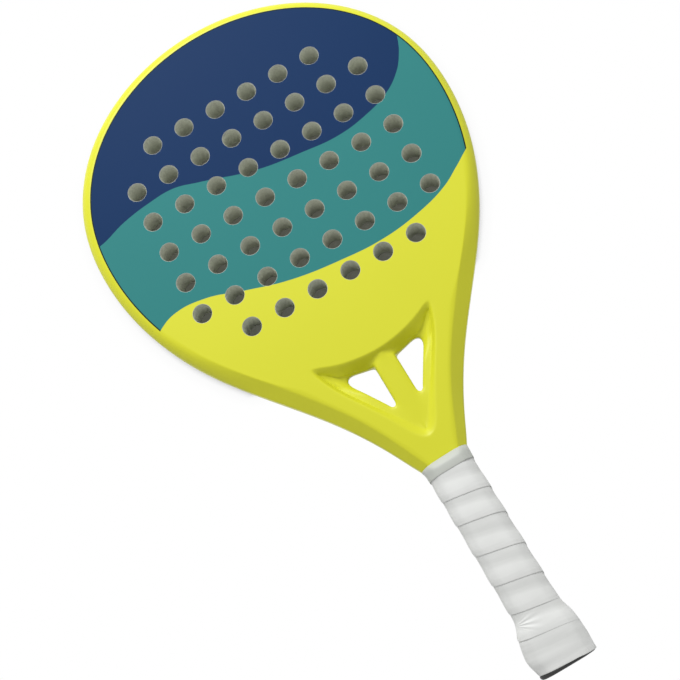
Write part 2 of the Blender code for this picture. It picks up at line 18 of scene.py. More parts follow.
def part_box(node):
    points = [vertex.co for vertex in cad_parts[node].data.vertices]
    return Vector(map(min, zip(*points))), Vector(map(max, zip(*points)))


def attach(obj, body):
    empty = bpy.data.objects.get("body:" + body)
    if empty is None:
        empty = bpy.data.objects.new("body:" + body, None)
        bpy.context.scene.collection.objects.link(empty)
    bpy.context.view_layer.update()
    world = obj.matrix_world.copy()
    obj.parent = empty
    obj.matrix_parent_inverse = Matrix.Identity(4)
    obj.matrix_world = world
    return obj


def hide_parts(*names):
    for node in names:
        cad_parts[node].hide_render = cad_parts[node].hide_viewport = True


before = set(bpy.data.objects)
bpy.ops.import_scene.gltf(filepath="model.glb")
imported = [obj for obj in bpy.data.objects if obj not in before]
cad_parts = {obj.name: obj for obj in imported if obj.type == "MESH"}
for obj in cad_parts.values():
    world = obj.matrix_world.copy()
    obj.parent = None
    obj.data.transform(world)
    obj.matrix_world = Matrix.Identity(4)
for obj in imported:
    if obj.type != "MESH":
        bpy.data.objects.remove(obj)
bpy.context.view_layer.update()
MM = 0.001

# %% [markdown]
# ## Levels taken from the frame
#
# The front and back faces are flat, and the racket is the same on both sides of its middle plane.
# Heights are measured up from that plane, because one modelled half can then be mirrored.

# %% Measure the frame
face_low, face_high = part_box("front_face")
core_low, core_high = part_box("foam_core")
tape_low, tape_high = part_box("finishing_tape")
cap_low, cap_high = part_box("butt_cap")
tube_low, tube_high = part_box("frame_tube")
MID_Z = (core_low.z + core_high.z) / 2
HALF_DEPTH = face_high.z - MID_Z
SKIN = face_high.z - face_low.z
BUTT_Y = cap_low.y
TIP_Y = tube_high.y
TUBE_END_Y = tube_low.y
print("middle plane", round(MID_Z, 4), "half depth", round(HALF_DEPTH, 4))
print("tape from", round(tape_low.y, 4), "to", round(tape_high.y, 4))
print("butt from", round(cap_low.y, 4), "to", round(cap_high.y, 4))

# %% [markdown]
# ## The camera
#
# The camera looks down on the face from the handle's side and is turned, so that the racket runs
# from the upper left to the lower right. Its turn is written as the three directions of its own
# axes, which is easier to check than three angles: right, up and backwards.

# %% Place the camera
CAMERA_PLACE = (-0.014389, -0.184557, 0.722956)
CAMERA_RIGHT = (0.85741345, -0.49699146, -0.13357267)
CAMERA_UP = (0.51461844, 0.82961145, 0.21659341)
CAMERA_BACK = (0.00316834, -0.25444907, 0.96708099)
CAMERA_LENS = 63.285
SENSOR_WIDTH = 36.0
NEAREST_SEEN = 0.01

camera_data = bpy.data.cameras.new("camera")
camera_data.lens = CAMERA_LENS
camera_data.sensor_width = SENSOR_WIDTH
camera_data.clip_start = NEAREST_SEEN
camera = bpy.data.objects.new("camera", camera_data)
bpy.context.scene.collection.objects.link(camera)
turn = Matrix((CAMERA_RIGHT, CAMERA_UP, CAMERA_BACK)).transposed().to_4x4()
camera.matrix_world = Matrix.Translation(CAMERA_PLACE) @ turn
bpy.context.scene.camera = camera
print("camera at", CAMERA_PLACE)

# %% [markdown]
# ## The room
#
# A studio for a small product is a pale floor, a pale surround and one broad lamp. The surround
# lights everything evenly at about half of the level, and the lamp, which hangs beyond the tip,
# gives the rest. So the walls that face the tip are bright and those that face the handle are
# dark. The camera and the reflections see the surround as plain white.

# %% Math on sockets and numbers
def math_node(nodes, links, operation, *values):
    """A math node on sockets or numbers; returns its output."""
    node = nodes.new("ShaderNodeMath")
    node.operation = operation
    for socket, value in zip(node.inputs, values):
        if isinstance(value, (int, float)):
            socket.default_value = value
        else:
            links.new(value, socket)
    return node.outputs[0]


def white_for_camera(nodes, links):
    """A value that is 1 for camera, glossy and transmission rays and 0 for all others."""
    rays = nodes.new("ShaderNodeLightPath").outputs
    seen = math_node(nodes, links, "MAXIMUM", rays["Is Camera Ray"], rays["Is Glossy Ray"])
    return math_node(nodes, links, "MAXIMUM", seen, rays["Is Transmission Ray"])


# %% Light the surround
WHITE = (1.0, 1.0, 1.0, 1.0)
SURROUND_LEVEL = 0.42

world = bpy.data.worlds.new("studio")
bpy.context.scene.world = world
world.use_nodes = True
nodes, links = world.node_tree.nodes, world.node_tree.links
background = nodes["Background"]
background.inputs["Color"].default_value = WHITE
level = nodes.new("ShaderNodeMapRange")
level.inputs["To Min"].default_value = SURROUND_LEVEL
level.inputs["To Max"].default_value = 1.0
links.new(white_for_camera(nodes, links), level.inputs["Value"])
links.new(level.outputs["Result"], background.inputs["Strength"])
print("surround", SURROUND_LEVEL)

# %% Hang the lamp
LAMP_PLACE = (-0.04, 1.02, 0.98)
LAMP_SIZE = 0.75
LAMP_POWER = 14.8
LAMP_AIM = (0.0, 0.03, 0.02)

lamp_data = bpy.data.lights.new("softbox", "AREA")
lamp_data.shape = "DISK"
lamp_data.size = LAMP_SIZE
lamp_data.energy = LAMP_POWER
lamp = bpy.data.objects.new("softbox", lamp_data)
bpy.context.scene.collection.objects.link(lamp)
lamp.location = LAMP_PLACE
lamp.rotation_euler = (Vector(LAMP_AIM) - lamp.location).to_track_quat("-Z", "Y").to_euler()
bpy.context.scene.view_settings.view_transform = "Standard"
print("lamp", LAMP_POWER, "W")

# %% [markdown]
# ## The floor
#
# The racket rests on its butt and on its tip, because the wrapped butt is thicker than the head.
# The floor is tilted by that small angle, so both touch it. To the camera it is white, and it
# darkens only where the racket hides it from the room: close beside the racket, and below the
# drilled holes. Occlusion is read by Ambient Occlusion nodes, with a longer reach below the head
# than below the throat and the handle, where the floor stays nearly white.

# %% Lay the floor
FLOOR_SIZE = 6.0
FLOOR_GAP = 0.0002
REST_BUTT_Y = BUTT_Y + 0.020
REST_TIP_Y = TIP_Y - 0.008
REST_TIP_Z = MID_Z - HALF_DEPTH + 0.0012

bpy.ops.object.select_all(action="DESELECT")
bpy.ops.mesh.primitive_plane_add(size=FLOOR_SIZE)
floor = bpy.context.object
floor.name = "studio_floor"
tilt = math.atan2(REST_TIP_Z, REST_TIP_Y - REST_BUTT_Y)
floor.rotation_euler = (tilt, 0.0, 0.0)
floor.location = (0.0, 0.0, -REST_BUTT_Y * math.tan(tilt) - FLOOR_GAP)
print("floor tilted by", round(math.degrees(tilt), 2), "degrees")

# %% Shade the floor
SHADE_REACH = 0.014
THROAT_REACH = 0.0035
SHADE_RAYS = 16
HEAD_SHADE_Y = (-0.012, 0.004)
FLOOR_SHADES = ((0.30, (0.080, 0.083, 0.066, 1.0)), (0.62, (0.96, 0.96, 0.96, 1.0)), (0.92, WHITE))
FLOOR_GREY = (0.80, 0.80, 0.80, 1.0)
FLOOR_ROUGHNESS = 0.9


def ramp_node(nodes, links, value, stops):
    """A colour ramp with these stops (position, colour), read at a value; returns its colour."""
    node = nodes.new("ShaderNodeValToRGB")
    elements = node.color_ramp.elements
    for k, (position, color) in enumerate(stops):
        element = elements[k] if k < len(elements) else elements.new(position)
        element.position = position
        element.color = color
    links.new(value, node.inputs["Fac"])
    return node.outputs["Color"]


floor_paint = bpy.data.materials.new("studio_floor")
floor_paint.use_nodes = True
nodes, links = floor_paint.node_tree.nodes, floor_paint.node_tree.links
matt = nodes["Principled BSDF"]
matt.inputs["Base Color"].default_value = FLOOR_GREY
matt.inputs["Roughness"].default_value = FLOOR_ROUGHNESS
place = nodes.new("ShaderNodeTexCoord")
split = nodes.new("ShaderNodeSeparateXYZ")
links.new(place.outputs["Object"], split.inputs["Vector"])
below_head = nodes.new("ShaderNodeMapRange")
below_head.inputs["From Min"].default_value = HEAD_SHADE_Y[0]
below_head.inputs["From Max"].default_value = HEAD_SHADE_Y[1]
links.new(split.outputs["Y"], below_head.inputs["Value"])
shade = nodes.new("ShaderNodeMix")
links.new(below_head.outputs["Result"], shade.inputs["Factor"])
for socket, reach in (("A", THROAT_REACH), ("B", SHADE_REACH)):
    hidden = nodes.new("ShaderNodeAmbientOcclusion")
    hidden.samples = SHADE_RAYS
    hidden.inputs["Distance"].default_value = reach
    links.new(hidden.outputs["AO"], shade.inputs[socket])
glow = nodes.new("ShaderNodeEmission")
links.new(ramp_node(nodes, links, shade.outputs["Result"], FLOOR_SHADES), glow.inputs["Color"])
mixer = nodes.new("ShaderNodeMixShader")
links.new(white_for_camera(nodes, links), mixer.inputs["Fac"])
links.new(matt.outputs["BSDF"], mixer.inputs[1])
links.new(glow.outputs["Emission"], mixer.inputs[2])
links.new(mixer.outputs["Shader"], nodes["Material Output"].inputs["Surface"])
floor.data.materials.append(floor_paint)
print("shade on the floor reaches", SHADE_REACH)

# %% [markdown]
# ## Small helpers
#
# Operators act on whatever is selected, so each step first selects only what it needs. The sweep
# is the main modelling move: a chain of points is extruded row by row, as with the E key in edit
# mode, and each new row is set to its place.

# %% Select and edit
SAME_PLACE = 0.00001


def pick(*pieces):
    """Go to object mode with only these pieces selected, the first one active."""
    if bpy.context.object and bpy.context.object.mode != "OBJECT":
        bpy.ops.object.mode_set(mode="OBJECT")
    bpy.ops.object.select_all(action="DESELECT")
    for piece in pieces:
        piece.select_set(True)
    if pieces:
        bpy.context.view_layer.objects.active = pieces[0]


def edit(piece, action="DESELECT"):
    """Go to edit mode on one piece, with all of it selected or nothing."""
    pick(piece)
    bpy.ops.object.mode_set(mode="EDIT")
    bpy.ops.mesh.select_mode(type="EDGE")
    bpy.ops.mesh.select_all(action=action)


def select_edges(piece, wanted):
    """In edit mode, select the edges for which a test holds, and no others."""
    mesh_data = bmesh.from_edit_mesh(piece.data)
    for edge in mesh_data.edges:
        edge.select_set(wanted(edge))
    bmesh.update_edit_mesh(piece.data)


def apply_modifiers(piece):
    pick(piece)
    for modifier in list(piece.modifiers):
        bpy.ops.object.modifier_apply(modifier=modifier.name)


def join(name, pieces, merge=SAME_PLACE):
    """Join pieces into one object and merge the points that they share."""
    pick(*pieces)
    if len(pieces) > 1:
        bpy.ops.object.join()
    made = bpy.context.object
    made.name = name
    made.data.name = name
    edit(made, "SELECT")
    bpy.ops.mesh.remove_doubles(threshold=merge)
    bpy.ops.object.mode_set(mode="OBJECT")
    return made


# %% Sweep a chain of points
def nearest(places, place):
    """Index of the place that lies nearest to a given one."""
    return int(np.argmin(np.linalg.norm(places - np.array(place), axis=1)))


def sweep(name, rows, closed=False):
    """Extrude a chain or ring of points through rows of places."""
    count = len(rows[0])
    pick()
    if closed:
        bpy.ops.mesh.primitive_circle_add(vertices=count, radius=MM)
        laid = 1
    else:
        bpy.ops.mesh.primitive_grid_add(x_subdivisions=count - 1, y_subdivisions=1, size=MM)
        laid = 2
    piece = bpy.context.object
    piece.name = name
    for k, place in enumerate(np.vstack(rows[:laid])):
        piece.data.vertices[k].co = place
    edit(piece)
    select_edges(piece, lambda edge: min(vert.index for vert in edge.verts) >= (laid - 1) * count)
    before = np.array(rows[laid - 1], float)
    for row in rows[laid:]:
        bpy.ops.mesh.extrude_edges_move()
        mesh_data = bmesh.from_edit_mesh(piece.data)
        for vert in mesh_data.verts:
            if vert.select:
                vert.co = row[nearest(before, vert.co)]
        bmesh.update_edit_mesh(piece.data)
        before = np.array(row, float)
    bpy.ops.object.mode_set(mode="OBJECT")
    piece.location = (0.0, 0.0, 0.0)
    return piece


# %% [markdown]
# ## The outline
#
# Twelve points fix half of the outline, from the tip down to the top of the handle. A natural
# cubic curve runs through them. It is sampled finely once, and stations are then read from it by
# their distance from the tip.

# %% Draw the outline
OUTLINE = np.array((
    (0.0, 229.0), (48.5, 220.5), (93.0, 193.0), (118.8, 153.0), (124.8, 115.0), (119.0, 73.0),
    (102.2, 33.0), (70.3, -11.0), (42.3, -47.0), (24.3, -77.0), (17.2, -91.0), (15.3, -94.5),
)) * MM
OUTLINE_SAMPLES = 600


def lengths_along(points):
    """Distance of each point from the first one, along their chain."""
    steps = np.linalg.norm(np.diff(points, axis=0), axis=1)
    return np.concatenate(([0.0], np.cumsum(steps)))


def unit(ways):
    """The same directions with a length of 1."""
    return ways / np.linalg.norm(ways, axis=1)[:, None]


def left_of(ways):
    """The directions turned by a quarter turn to the left."""
    return np.column_stack((-ways[:, 1], ways[:, 0]))


def natural_curve(knots, samples):
    """Points on the natural cubic through the knots, level at the first one."""
    spans = np.linalg.norm(np.diff(knots, axis=0), axis=1)
    slopes = np.diff(knots, axis=0) / spans[:, None]
    count = len(knots)
    system = np.zeros((count, count))
    target = np.zeros((count, 2))
    system[0, :2] = 2 * spans[0], spans[0]
    target[0] = 6 * (slopes[0] - (1.0, 0.0))
    for i in range(1, count - 1):
        system[i, i - 1:i + 2] = spans[i - 1], 2 * (spans[i - 1] + spans[i]), spans[i]
        target[i] = 6 * (slopes[i] - slopes[i - 1])
    system[-1, -1] = 1.0
    bends = np.linalg.solve(system, target)
    starts = lengths_along(knots)
    path = []
    for place in np.linspace(0.0, starts[-1], samples):
        i = min(int(np.searchsorted(starts, place, side="right")) - 1, count - 2)
        left = place - starts[i]
        right = starts[i + 1] - place
        curve = (bends[i] * right ** 3 + bends[i + 1] * left ** 3) / (6 * spans[i])
        first = (knots[i] / spans[i] - bends[i] * spans[i] / 6) * right
        last = (knots[i + 1] / spans[i] - bends[i + 1] * spans[i] / 6) * left
        path.append(curve + first + last)
    return np.array(path)


outline = natural_curve(OUTLINE, OUTLINE_SAMPLES)
outline_length = lengths_along(outline)
outline_way = unit(np.gradient(outline, axis=0))
outline_way[0] = (1.0, 0.0)
outline_inward = -left_of(outline_way)
print("half outline is", round(outline_length[-1], 4), "long")

# %% [markdown]
# ## The cage of the moulding
#
# The frame, its arms, the bridge and the rib are one moulding in carbon and glass fibre. It is
# modelled as a quarter of a coarse cage, which is mirrored twice and smoothed by Subdivision
# Surface. That gives fillets with even curvature. An edge that has to stay crisp gets a crease:
# the edge of the outer bevel is crisp beside the throat and fades into a full round at the head,
# so its crease value fades from high to nothing.
#
# Each station is a row of six points from the middle of the side wall, over the bevel, to the
# flat of the face.

# %% Edge bevel along the frame
EDGE_WIDTHS = ((-101.0, 4.5), (-94.5, 5.5), (-57.0, 7.5), (-15.0, 8.8), (33.0, 7.5))
EDGE_DEPTH = 7.0 * MM
EDGE_FLAT_Y = 0.0
EDGE_ROUND_Y = 0.060
ROUND_START = 0.4
ROUND_END = 0.6


def edge_width(y):
    return float(np.interp(y / MM, *zip(*EDGE_WIDTHS))) * MM


def roundness(y):
    return min(max((y - EDGE_FLAT_Y) / (EDGE_ROUND_Y - EDGE_FLAT_Y), 0.0), 1.0)


def edge_row(point, inward, end):
    """Six places across one station. The last one is the given end, on the flat of the face."""
    width = edge_width(point[1])
    depth = min(EDGE_DEPTH, width)
    side = HALF_DEPTH - depth
    share = roundness(point[1])
    flat = ((width / 3, side + depth / 3), (width * 2 / 3, side + depth * 2 / 3))
    rounded = ((0.0, side + depth * ROUND_START), (width * ROUND_END, HALF_DEPTH))
    across = [(0.0, 0.0), (0.0, side)]
    for start, goal in zip(flat, rounded):
        across.append([a + (b - a) * share for a, b in zip(start, goal)])
    across.append((width, HALF_DEPTH))
    row = [(*(point + inward * d), z) for d, z in across]
    return row + [(end[0], end[1], HALF_DEPTH)]


def held_out(rows):
    """Move each place out by a sixth of the bend, which the smoothing takes away there."""
    rows = np.array(rows)
    held = rows.copy()
    held[1:-1] -= (rows[:-2] - 2 * rows[1:-1] + rows[2:]) / 6
    return held


# %% [markdown]
# ## The throat
#
# Below the head the face ends at an arc, and behind the arc lies a three-cornered recess that is
# moulded 3 mm deep. Two rounded openings go through it, with a rib between them. Its side walls
# are short, with a soft foot, and its upper wall is a long scoop that runs down to the openings.
#
# The recess is a ring of columns round the right opening. Each column has a place on the flat,
# on the crease, at the foot of the wall, on the shoulder of the rim, on the rim and on the middle
# plane. The columns start on the middle line, run out along the arc, come back down the arm and
# go up along the rib. The corner columns are few, so that the cage stays easy to read.

# %% Chains of places
def spread(points, count):
    """Places at even steps along a polyline."""
    along = lengths_along(points)
    picks = np.linspace(0.0, along[-1], count)
    return np.column_stack([np.interp(picks, along, points[:, k]) for k in (0, 1)])


def beside(chain, distance):
    """The chain moved to its left by a distance. It starts level, on the middle line."""
    ways = np.gradient(chain, axis=0)
    ways[0] = (1.0, 0.0)
    return chain + left_of(unit(ways)) * distance


def raised(places, heights):
    """Plan places with their heights, which may be one number for all."""
    heights = np.broadcast_to(np.array(heights, float), (len(places),))
    return np.column_stack((places, heights))


# %% Places along the arm
ARM_CREASE = np.array(((0.0, -80.6), (4.8, -77.4), (10.0, -68.6), (18.4, -53.0), (28.6, -36.6),
                       (37.8, -20.0), (42.6, -6.6))) * MM
ARM_SAMPLES = 80
ARM_COLUMNS = 10
FLAT_MARGIN = 0.0012
WALL_RUNS = np.array((6.4, 5.0, 4.2, 3.0, 2.3, 2.1, 2.0, 2.0, 2.0, 2.0)) * MM
CORNER_FOOT = (-0.0040, -0.0056)
ARM_FOOT_Z = np.array((8.2, 6.8, 5.2, 6.2, 7.3, 7.9, 8.1, 8.1, 8.1, 8.1)) * MM

arm_crease = spread(natural_curve(ARM_CREASE, ARM_SAMPLES), ARM_COLUMNS)
arm_flat = beside(arm_crease, -FLAT_MARGIN)[::-1]
arm_foot = beside(arm_crease, WALL_RUNS[:, None])[::-1]
arm_crease = arm_crease[::-1]
arm_flat[0] = arm_crease[0] + (FLAT_MARGIN, FLAT_MARGIN)
arm_foot[0] = arm_crease[0] + CORNER_FOOT
print("columns along the arm:", len(arm_foot))

# %% Places along the arc and the rib
CREASE_Y = -0.0185
CREASE_RADIUS = 0.089
ARC_COLUMNS_X = np.array((0.0, 8.0, 15.0, 22.0, 30.5)) * MM
ARC_RUNS = np.array((1.4, 2.6, 3.9, 5.0, 5.6)) * MM
ARC_FOOT_Z = np.array((8.9, 7.2, 5.0, 4.4, 5.6)) * MM
ARC_FOOT_SHARE = 0.95
RIB_LINE = [(0.0, y * MM) for y in (-64.0, -55.0, -46.0, -37.0, -28.5)]
RECESS_DEPTH = 0.0029


def arc_y(x, beyond=0.0):
    """Height of the crease arc, or of an arc about the same centre further out."""
    radius = CREASE_RADIUS + beyond
    return CREASE_Y + CREASE_RADIUS - math.sqrt(radius ** 2 - x ** 2)


arc_flat = [(x, arc_y(x, -FLAT_MARGIN)) for x in ARC_COLUMNS_X]
arc_crease = [(x, arc_y(x)) for x in ARC_COLUMNS_X]
arc_foot = [(x, arc_y(x, run)) for x, run in zip(ARC_COLUMNS_X * ARC_FOOT_SHARE, ARC_RUNS)]
flat_chain = raised(np.vstack((arc_flat, arm_flat)), HALF_DEPTH)
crease_chain = raised(np.vstack((arc_crease, arm_crease)), HALF_DEPTH)
foot_ring = np.vstack((raised(arc_foot, ARC_FOOT_Z), raised(arm_foot, ARM_FOOT_Z),
                       raised(RIB_LINE, HALF_DEPTH - RECESS_DEPTH)))
print("columns round the recess:", len(foot_ring))

# %% Places round the opening
RIM_TOP = np.array(((7.5, -24.8), (10.4, -24.5), (14.6, -23.6), (19.0, -22.5), (23.0, -21.8),
                    (26.0, -23.4))) * MM
RIM_ARM = np.array(((25.6, -27.6), (11.4, -50.6))) * MM
RIM_ARM_COLUMNS = 6
RIM_FOOT = np.array(((10.9, -52.0), (9.2, -52.9), (7.8, -52.0))) * MM
RIM_RIB = [(0.0074, y * MM) for y in (-49.8, -45.5, -39.5, -33.5, -28.2)]
RIM_Z = np.array([5.2] + [2.0] * 4 + [1.7, 2.6, 4.6] + [6.2] * 4 + [6.9] * 3 + [6.7] * 5) * MM
SHOULDER_Z = np.array([7.5] + [3.4] * 4 + [3.0, 3.8, 5.8] + [7.4] * 4 + [7.9] * 8) * MM
SHOULDER_RUN = 0.0012
RIB_SHOULDER_X = 0.0057
RIB_TOP_SHOULDER = (RIB_SHOULDER_X, -0.0227)

rim = np.vstack((RIM_TOP, spread(RIM_ARM, RIM_ARM_COLUMNS), RIM_FOOT, RIM_RIB))
outward = left_of(unit(np.roll(rim, -1, axis=0) - np.roll(rim, 1, axis=0)))
shoulder = rim + outward * SHOULDER_RUN
shoulder[-len(RIM_RIB):, 0] = RIB_SHOULDER_X
shoulder[0] = RIB_TOP_SHOULDER
rings = [foot_ring, raised(shoulder, SHOULDER_Z), raised(rim, RIM_Z), raised(rim, 0.0)]
print("columns round the opening:", len(rim))

# %% [markdown]
# ## The stations down the side
#
# The stations start at the tip and end at the butt. At the head they reach inwards to the seam of
# the face, along the arms to the flat beside the recess, and below the throat to the middle line.
# Smoothing draws a curved cage inwards, so the places are first moved out by what it takes away.

# %% Rows down the outline
SEAM_INSET = 0.0009
HEAD_STATIONS = 25
ARM_START_Y = -0.0240
ARM_END_Y = -0.0830
NECK_Y = (-0.0880, -0.0925)
HANDLE_Y = (-0.1010, -0.1070, -0.1500, -0.2000, TUBE_END_Y)
HANDLE_HALF_WIDTH = 0.0116


def outline_place(length):
    """Point and inward direction on the outline at a distance from the tip."""
    place = [np.interp(length, outline_length, outline[:, k]) for k in (0, 1)]
    inward = np.array([np.interp(length, outline_length, outline_inward[:, k]) for k in (0, 1)])
    return np.array(place), inward / np.linalg.norm(inward)


def length_at(y):
    """Distance from the tip to where the outline comes down to a height."""
    return float(np.interp(-y, -outline[:, 1], outline_length))


arm_start = length_at(ARM_START_Y)
arm_end = length_at(ARM_END_Y)
head_lengths = np.linspace(0.0, arm_start, HEAD_STATIONS + 1)[:-1]
rows = []
for length in head_lengths:
    point, inward = outline_place(length)
    end = point + inward * (edge_width(point[1]) + SEAM_INSET)
    rows.append(edge_row(point, inward, end))
for length, end in zip(np.linspace(arm_start, arm_end, ARM_COLUMNS), arm_flat):
    point, inward = outline_place(length)
    rows.append(edge_row(point, inward, end))
for y in NECK_Y:
    point, inward = outline_place(length_at(y))
    rows.append(edge_row(point, inward, (0.0, y)))
for y in HANDLE_Y:
    point = np.array((HANDLE_HALF_WIDTH, y))
    rows.append(edge_row(point, np.array((-1.0, 0.0)), (0.0, y)))
rows = np.array(rows)
before_tip = rows[1] * (-1.0, 1.0, 1.0)
held = held_out(np.vstack((before_tip[None], rows)))[1:]
rows[:HEAD_STATIONS + ARM_COLUMNS, :5] = held[:HEAD_STATIONS + ARM_COLUMNS, :5]
edge_strip = sweep("edge_strip", rows)
print("stations:", len(rows))

# %% [markdown]
# ## The rebate for the faces
#
# The faces lie in a rebate, a step that runs round the inside of the head. Below the seam its wall
# goes down by the thickness of the sheet, its floor runs inwards, and from there a hidden wall
# goes down to the middle plane. The bridge closes it above the throat. In the end the four strips
# of the cage are joined, and the points that they share are merged.

# %% Sweep the throat and the hidden rebate
BRIDGE_TOP_Y = -0.0050
BRIDGE_TOP_RADIUS = 0.1660
BRIDGE_HALF_SPAN = 0.0620
BRIDGE_MARGIN = 0.004
HOOP_WIDTH = 0.0150
REBATE_GAP = 0.0003
ARC_COLUMNS = len(ARC_COLUMNS_X)


def bridge_top(x):
    return BRIDGE_TOP_Y + BRIDGE_TOP_RADIUS - math.sqrt(BRIDGE_TOP_RADIUS ** 2 - x ** 2)


crease_strip = sweep("crease_strip", list(zip(flat_chain, crease_chain, foot_ring)))
opening_ring = sweep("opening_ring", rings, closed=True)

seam_chain = [row[-1] for row in rows[:HEAD_STATIONS]] + list(flat_chain[ARC_COLUMNS::-1])
inner_wall = []
for length in head_lengths:
    point, inward = outline_place(length)
    inner = point + inward * HOOP_WIDTH
    if inner[1] > bridge_top(BRIDGE_HALF_SPAN) + BRIDGE_MARGIN:
        inner_wall.append(inner)
for x in np.linspace(BRIDGE_HALF_SPAN, 0.0, len(seam_chain) - len(inner_wall)):
    inner_wall.append((x, bridge_top(x)))
rebate_z = HALF_DEPTH - (SKIN + REBATE_GAP)
hidden_rows = []
for place, wall in zip(seam_chain, inner_wall):
    below = (place[0], place[1], rebate_z)
    hidden_rows.append([place, below, (*wall, rebate_z), (*wall, 0.0)])
rebate_strip = sweep("rebate_strip", hidden_rows)
moulding = join("racket_moulding", [edge_strip, crease_strip, opening_ring, rebate_strip])
print("cage faces in the quarter:", len(moulding.data.polygons))

# %% [markdown]
# ## Crisp and soft edges
#
# A crease keeps an edge from being smoothed away. The seam and the corners of the rebate are
# creased in full, because the sheet has to fit there. The rims of the openings, the arc and the
# foot of the wall on the arm are creased only a little, which leaves a small fillet, as paint and
# resin do on the real moulding. The seams are marked as well, so that they can be found again.

# %% Crease the edges that stay crisp
CRISP = 0.62
RIM_CREASE = 0.30
ARC_CREASE = 0.12
FOOT_CREASE = 0.35
CREASED_FOOT = slice(8, 12)


def crease_chain_edges(piece, chain, value, seam=False):
    """Crease the edges along a chain of places, and mark them as a seam if asked."""
    mesh_data = bmesh.new()
    mesh_data.from_mesh(piece.data)
    layer = mesh_data.edges.layers.float.get("crease_edge")
    layer = layer or mesh_data.edges.layers.float.new("crease_edge")
    mesh_data.verts.ensure_lookup_table()
    places = np.array([vert.co for vert in mesh_data.verts])
    found = [mesh_data.verts[nearest(places, place)] for place in chain]
    values = np.broadcast_to(np.array(value, float), (len(found),))
    for first, second, amount in zip(found, found[1:], values):
        edge = mesh_data.edges.get((first, second))
        if edge:
            edge[layer] = amount
            edge.seam = seam
    mesh_data.to_mesh(piece.data)
    mesh_data.free()


fade = np.array([CRISP * (1 - roundness(row[0][1])) for row in rows])
for corner in (1, 4):
    crease_chain_edges(moulding, [row[corner] for row in rows], fade)
crease_chain_edges(moulding, seam_chain, 1.0, seam=True)
crease_chain_edges(moulding, [row[1] for row in hidden_rows], 1.0)
crease_chain_edges(moulding, [row[2] for row in hidden_rows], 1.0, seam=True)
crease_chain_edges(moulding, rings[2], RIM_CREASE)
crease_chain_edges(moulding, crease_chain[:ARC_COLUMNS + 1], ARC_CREASE)
crease_chain_edges(moulding, foot_ring[CREASED_FOOT], FOOT_CREASE)
print("creases from", ARC_CREASE, "to", CRISP)

# %% Finish a cage
SMOOTHING = 2


def set_up(piece, kind, **values):
    """Add a modifier with these settings."""
    modifier = piece.modifiers.new(kind.lower(), kind)
    for name, value in values.items():
        setattr(modifier, name, value)


def subdivide(piece):
    """Turn a cage into the smooth surface that it stands for."""
    set_up(piece, "SUBSURF", levels=SMOOTHING, render_levels=SMOOTHING)
    apply_modifiers(piece)


def smooth_by_angle(piece, degrees):
    pick(piece)
    bpy.ops.object.shade_smooth_by_angle(angle=math.radians(degrees))


# %% Mirror and smooth the moulding
MOULDED_ANGLE = 40

set_up(moulding, "MIRROR", use_axis=(True, False, True), merge_threshold=2 * SAME_PLACE)
subdivide(moulding)
edit(moulding)
bpy.ops.mesh.select_non_manifold()
bpy.ops.mesh.edge_face_add()
bpy.ops.mesh.select_all(action="SELECT")
bpy.ops.mesh.normals_make_consistent(inside=False)
bpy.ops.transform.translate(value=(0.0, 0.0, MID_Z))
bpy.ops.object.mode_set(mode="OBJECT")
smooth_by_angle(moulding, MOULDED_ANGLE)
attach(moulding, "root")
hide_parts("frame_tube", "throat_bridge", "throat_rib")
print("moulding has", len(moulding.data.polygons), "faces")

# %% [markdown]
# ## Paint groups
#
# Every finish varies a little over its surface. One node group gives that to all of them: it
# mottles a colour at a large scale, and gives a fine grain for the roughness and the bump. A
# second group lays the printed bands over the head.

# %% New group
def new_group(name, inputs, outputs):
    """A shader node group with these sockets: (name, kind, default)."""
    group = bpy.data.node_groups.new(name, "ShaderNodeTree")
    for direction, sockets in (("INPUT", inputs), ("OUTPUT", outputs)):
        for title, kind, default in sockets:
            socket = group.interface.new_socket(title, in_out=direction, socket_type=kind)
            if default is not None:
                socket.default_value = default
    return group, group.nodes.new("NodeGroupInput"), group.nodes.new("NodeGroupOutput")


# %% Group that varies a surface
COLOR = "NodeSocketColor"
FLOAT = "NodeSocketFloat"
VECTOR = "NodeSocketVector"
CLOUD_DETAIL = 4.0
GRAIN_DETAIL = 3.0

varied, varied_in, varied_out = new_group(
    "varied_surface",
    (("Color", COLOR, (0.5, 0.5, 0.5, 1.0)), ("Vector", VECTOR, None),
     ("Mottle", FLOAT, 0.04), ("Mottle Scale", FLOAT, 25.0), ("Grain Scale", FLOAT, 1500.0),
     ("Roughness", FLOAT, 0.5), ("Roughness Spread", FLOAT, 0.08)),
    (("Color", COLOR, None), ("Roughness", FLOAT, None), ("Height", FLOAT, None)),
)
nodes, links = varied.nodes, varied.links
cloud = nodes.new("ShaderNodeTexNoise")
grain = nodes.new("ShaderNodeTexNoise")
for texture, scale, detail in ((cloud, "Mottle Scale", CLOUD_DETAIL),
                               (grain, "Grain Scale", GRAIN_DETAIL)):
    texture.inputs["Detail"].default_value = detail
    links.new(varied_in.outputs["Vector"], texture.inputs["Vector"])
    links.new(varied_in.outputs[scale], texture.inputs["Scale"])
centred = math_node(nodes, links, "SUBTRACT", cloud.outputs["Fac"], 0.5)
shift = math_node(nodes, links, "MULTIPLY", centred, varied_in.outputs["Mottle"])
level = math_node(nodes, links, "MULTIPLY_ADD", shift, 2.0, 1.0)
tint = nodes.new("ShaderNodeVectorMath")
tint.operation = "SCALE"
links.new(varied_in.outputs["Color"], tint.inputs[0])
links.new(level, tint.inputs["Scale"])
links.new(tint.outputs["Vector"], varied_out.inputs["Color"])
rough_shift = math_node(nodes, links, "SUBTRACT", grain.outputs["Fac"], 0.5)
rough_shift = math_node(nodes, links, "MULTIPLY", rough_shift,
                        varied_in.outputs["Roughness Spread"])
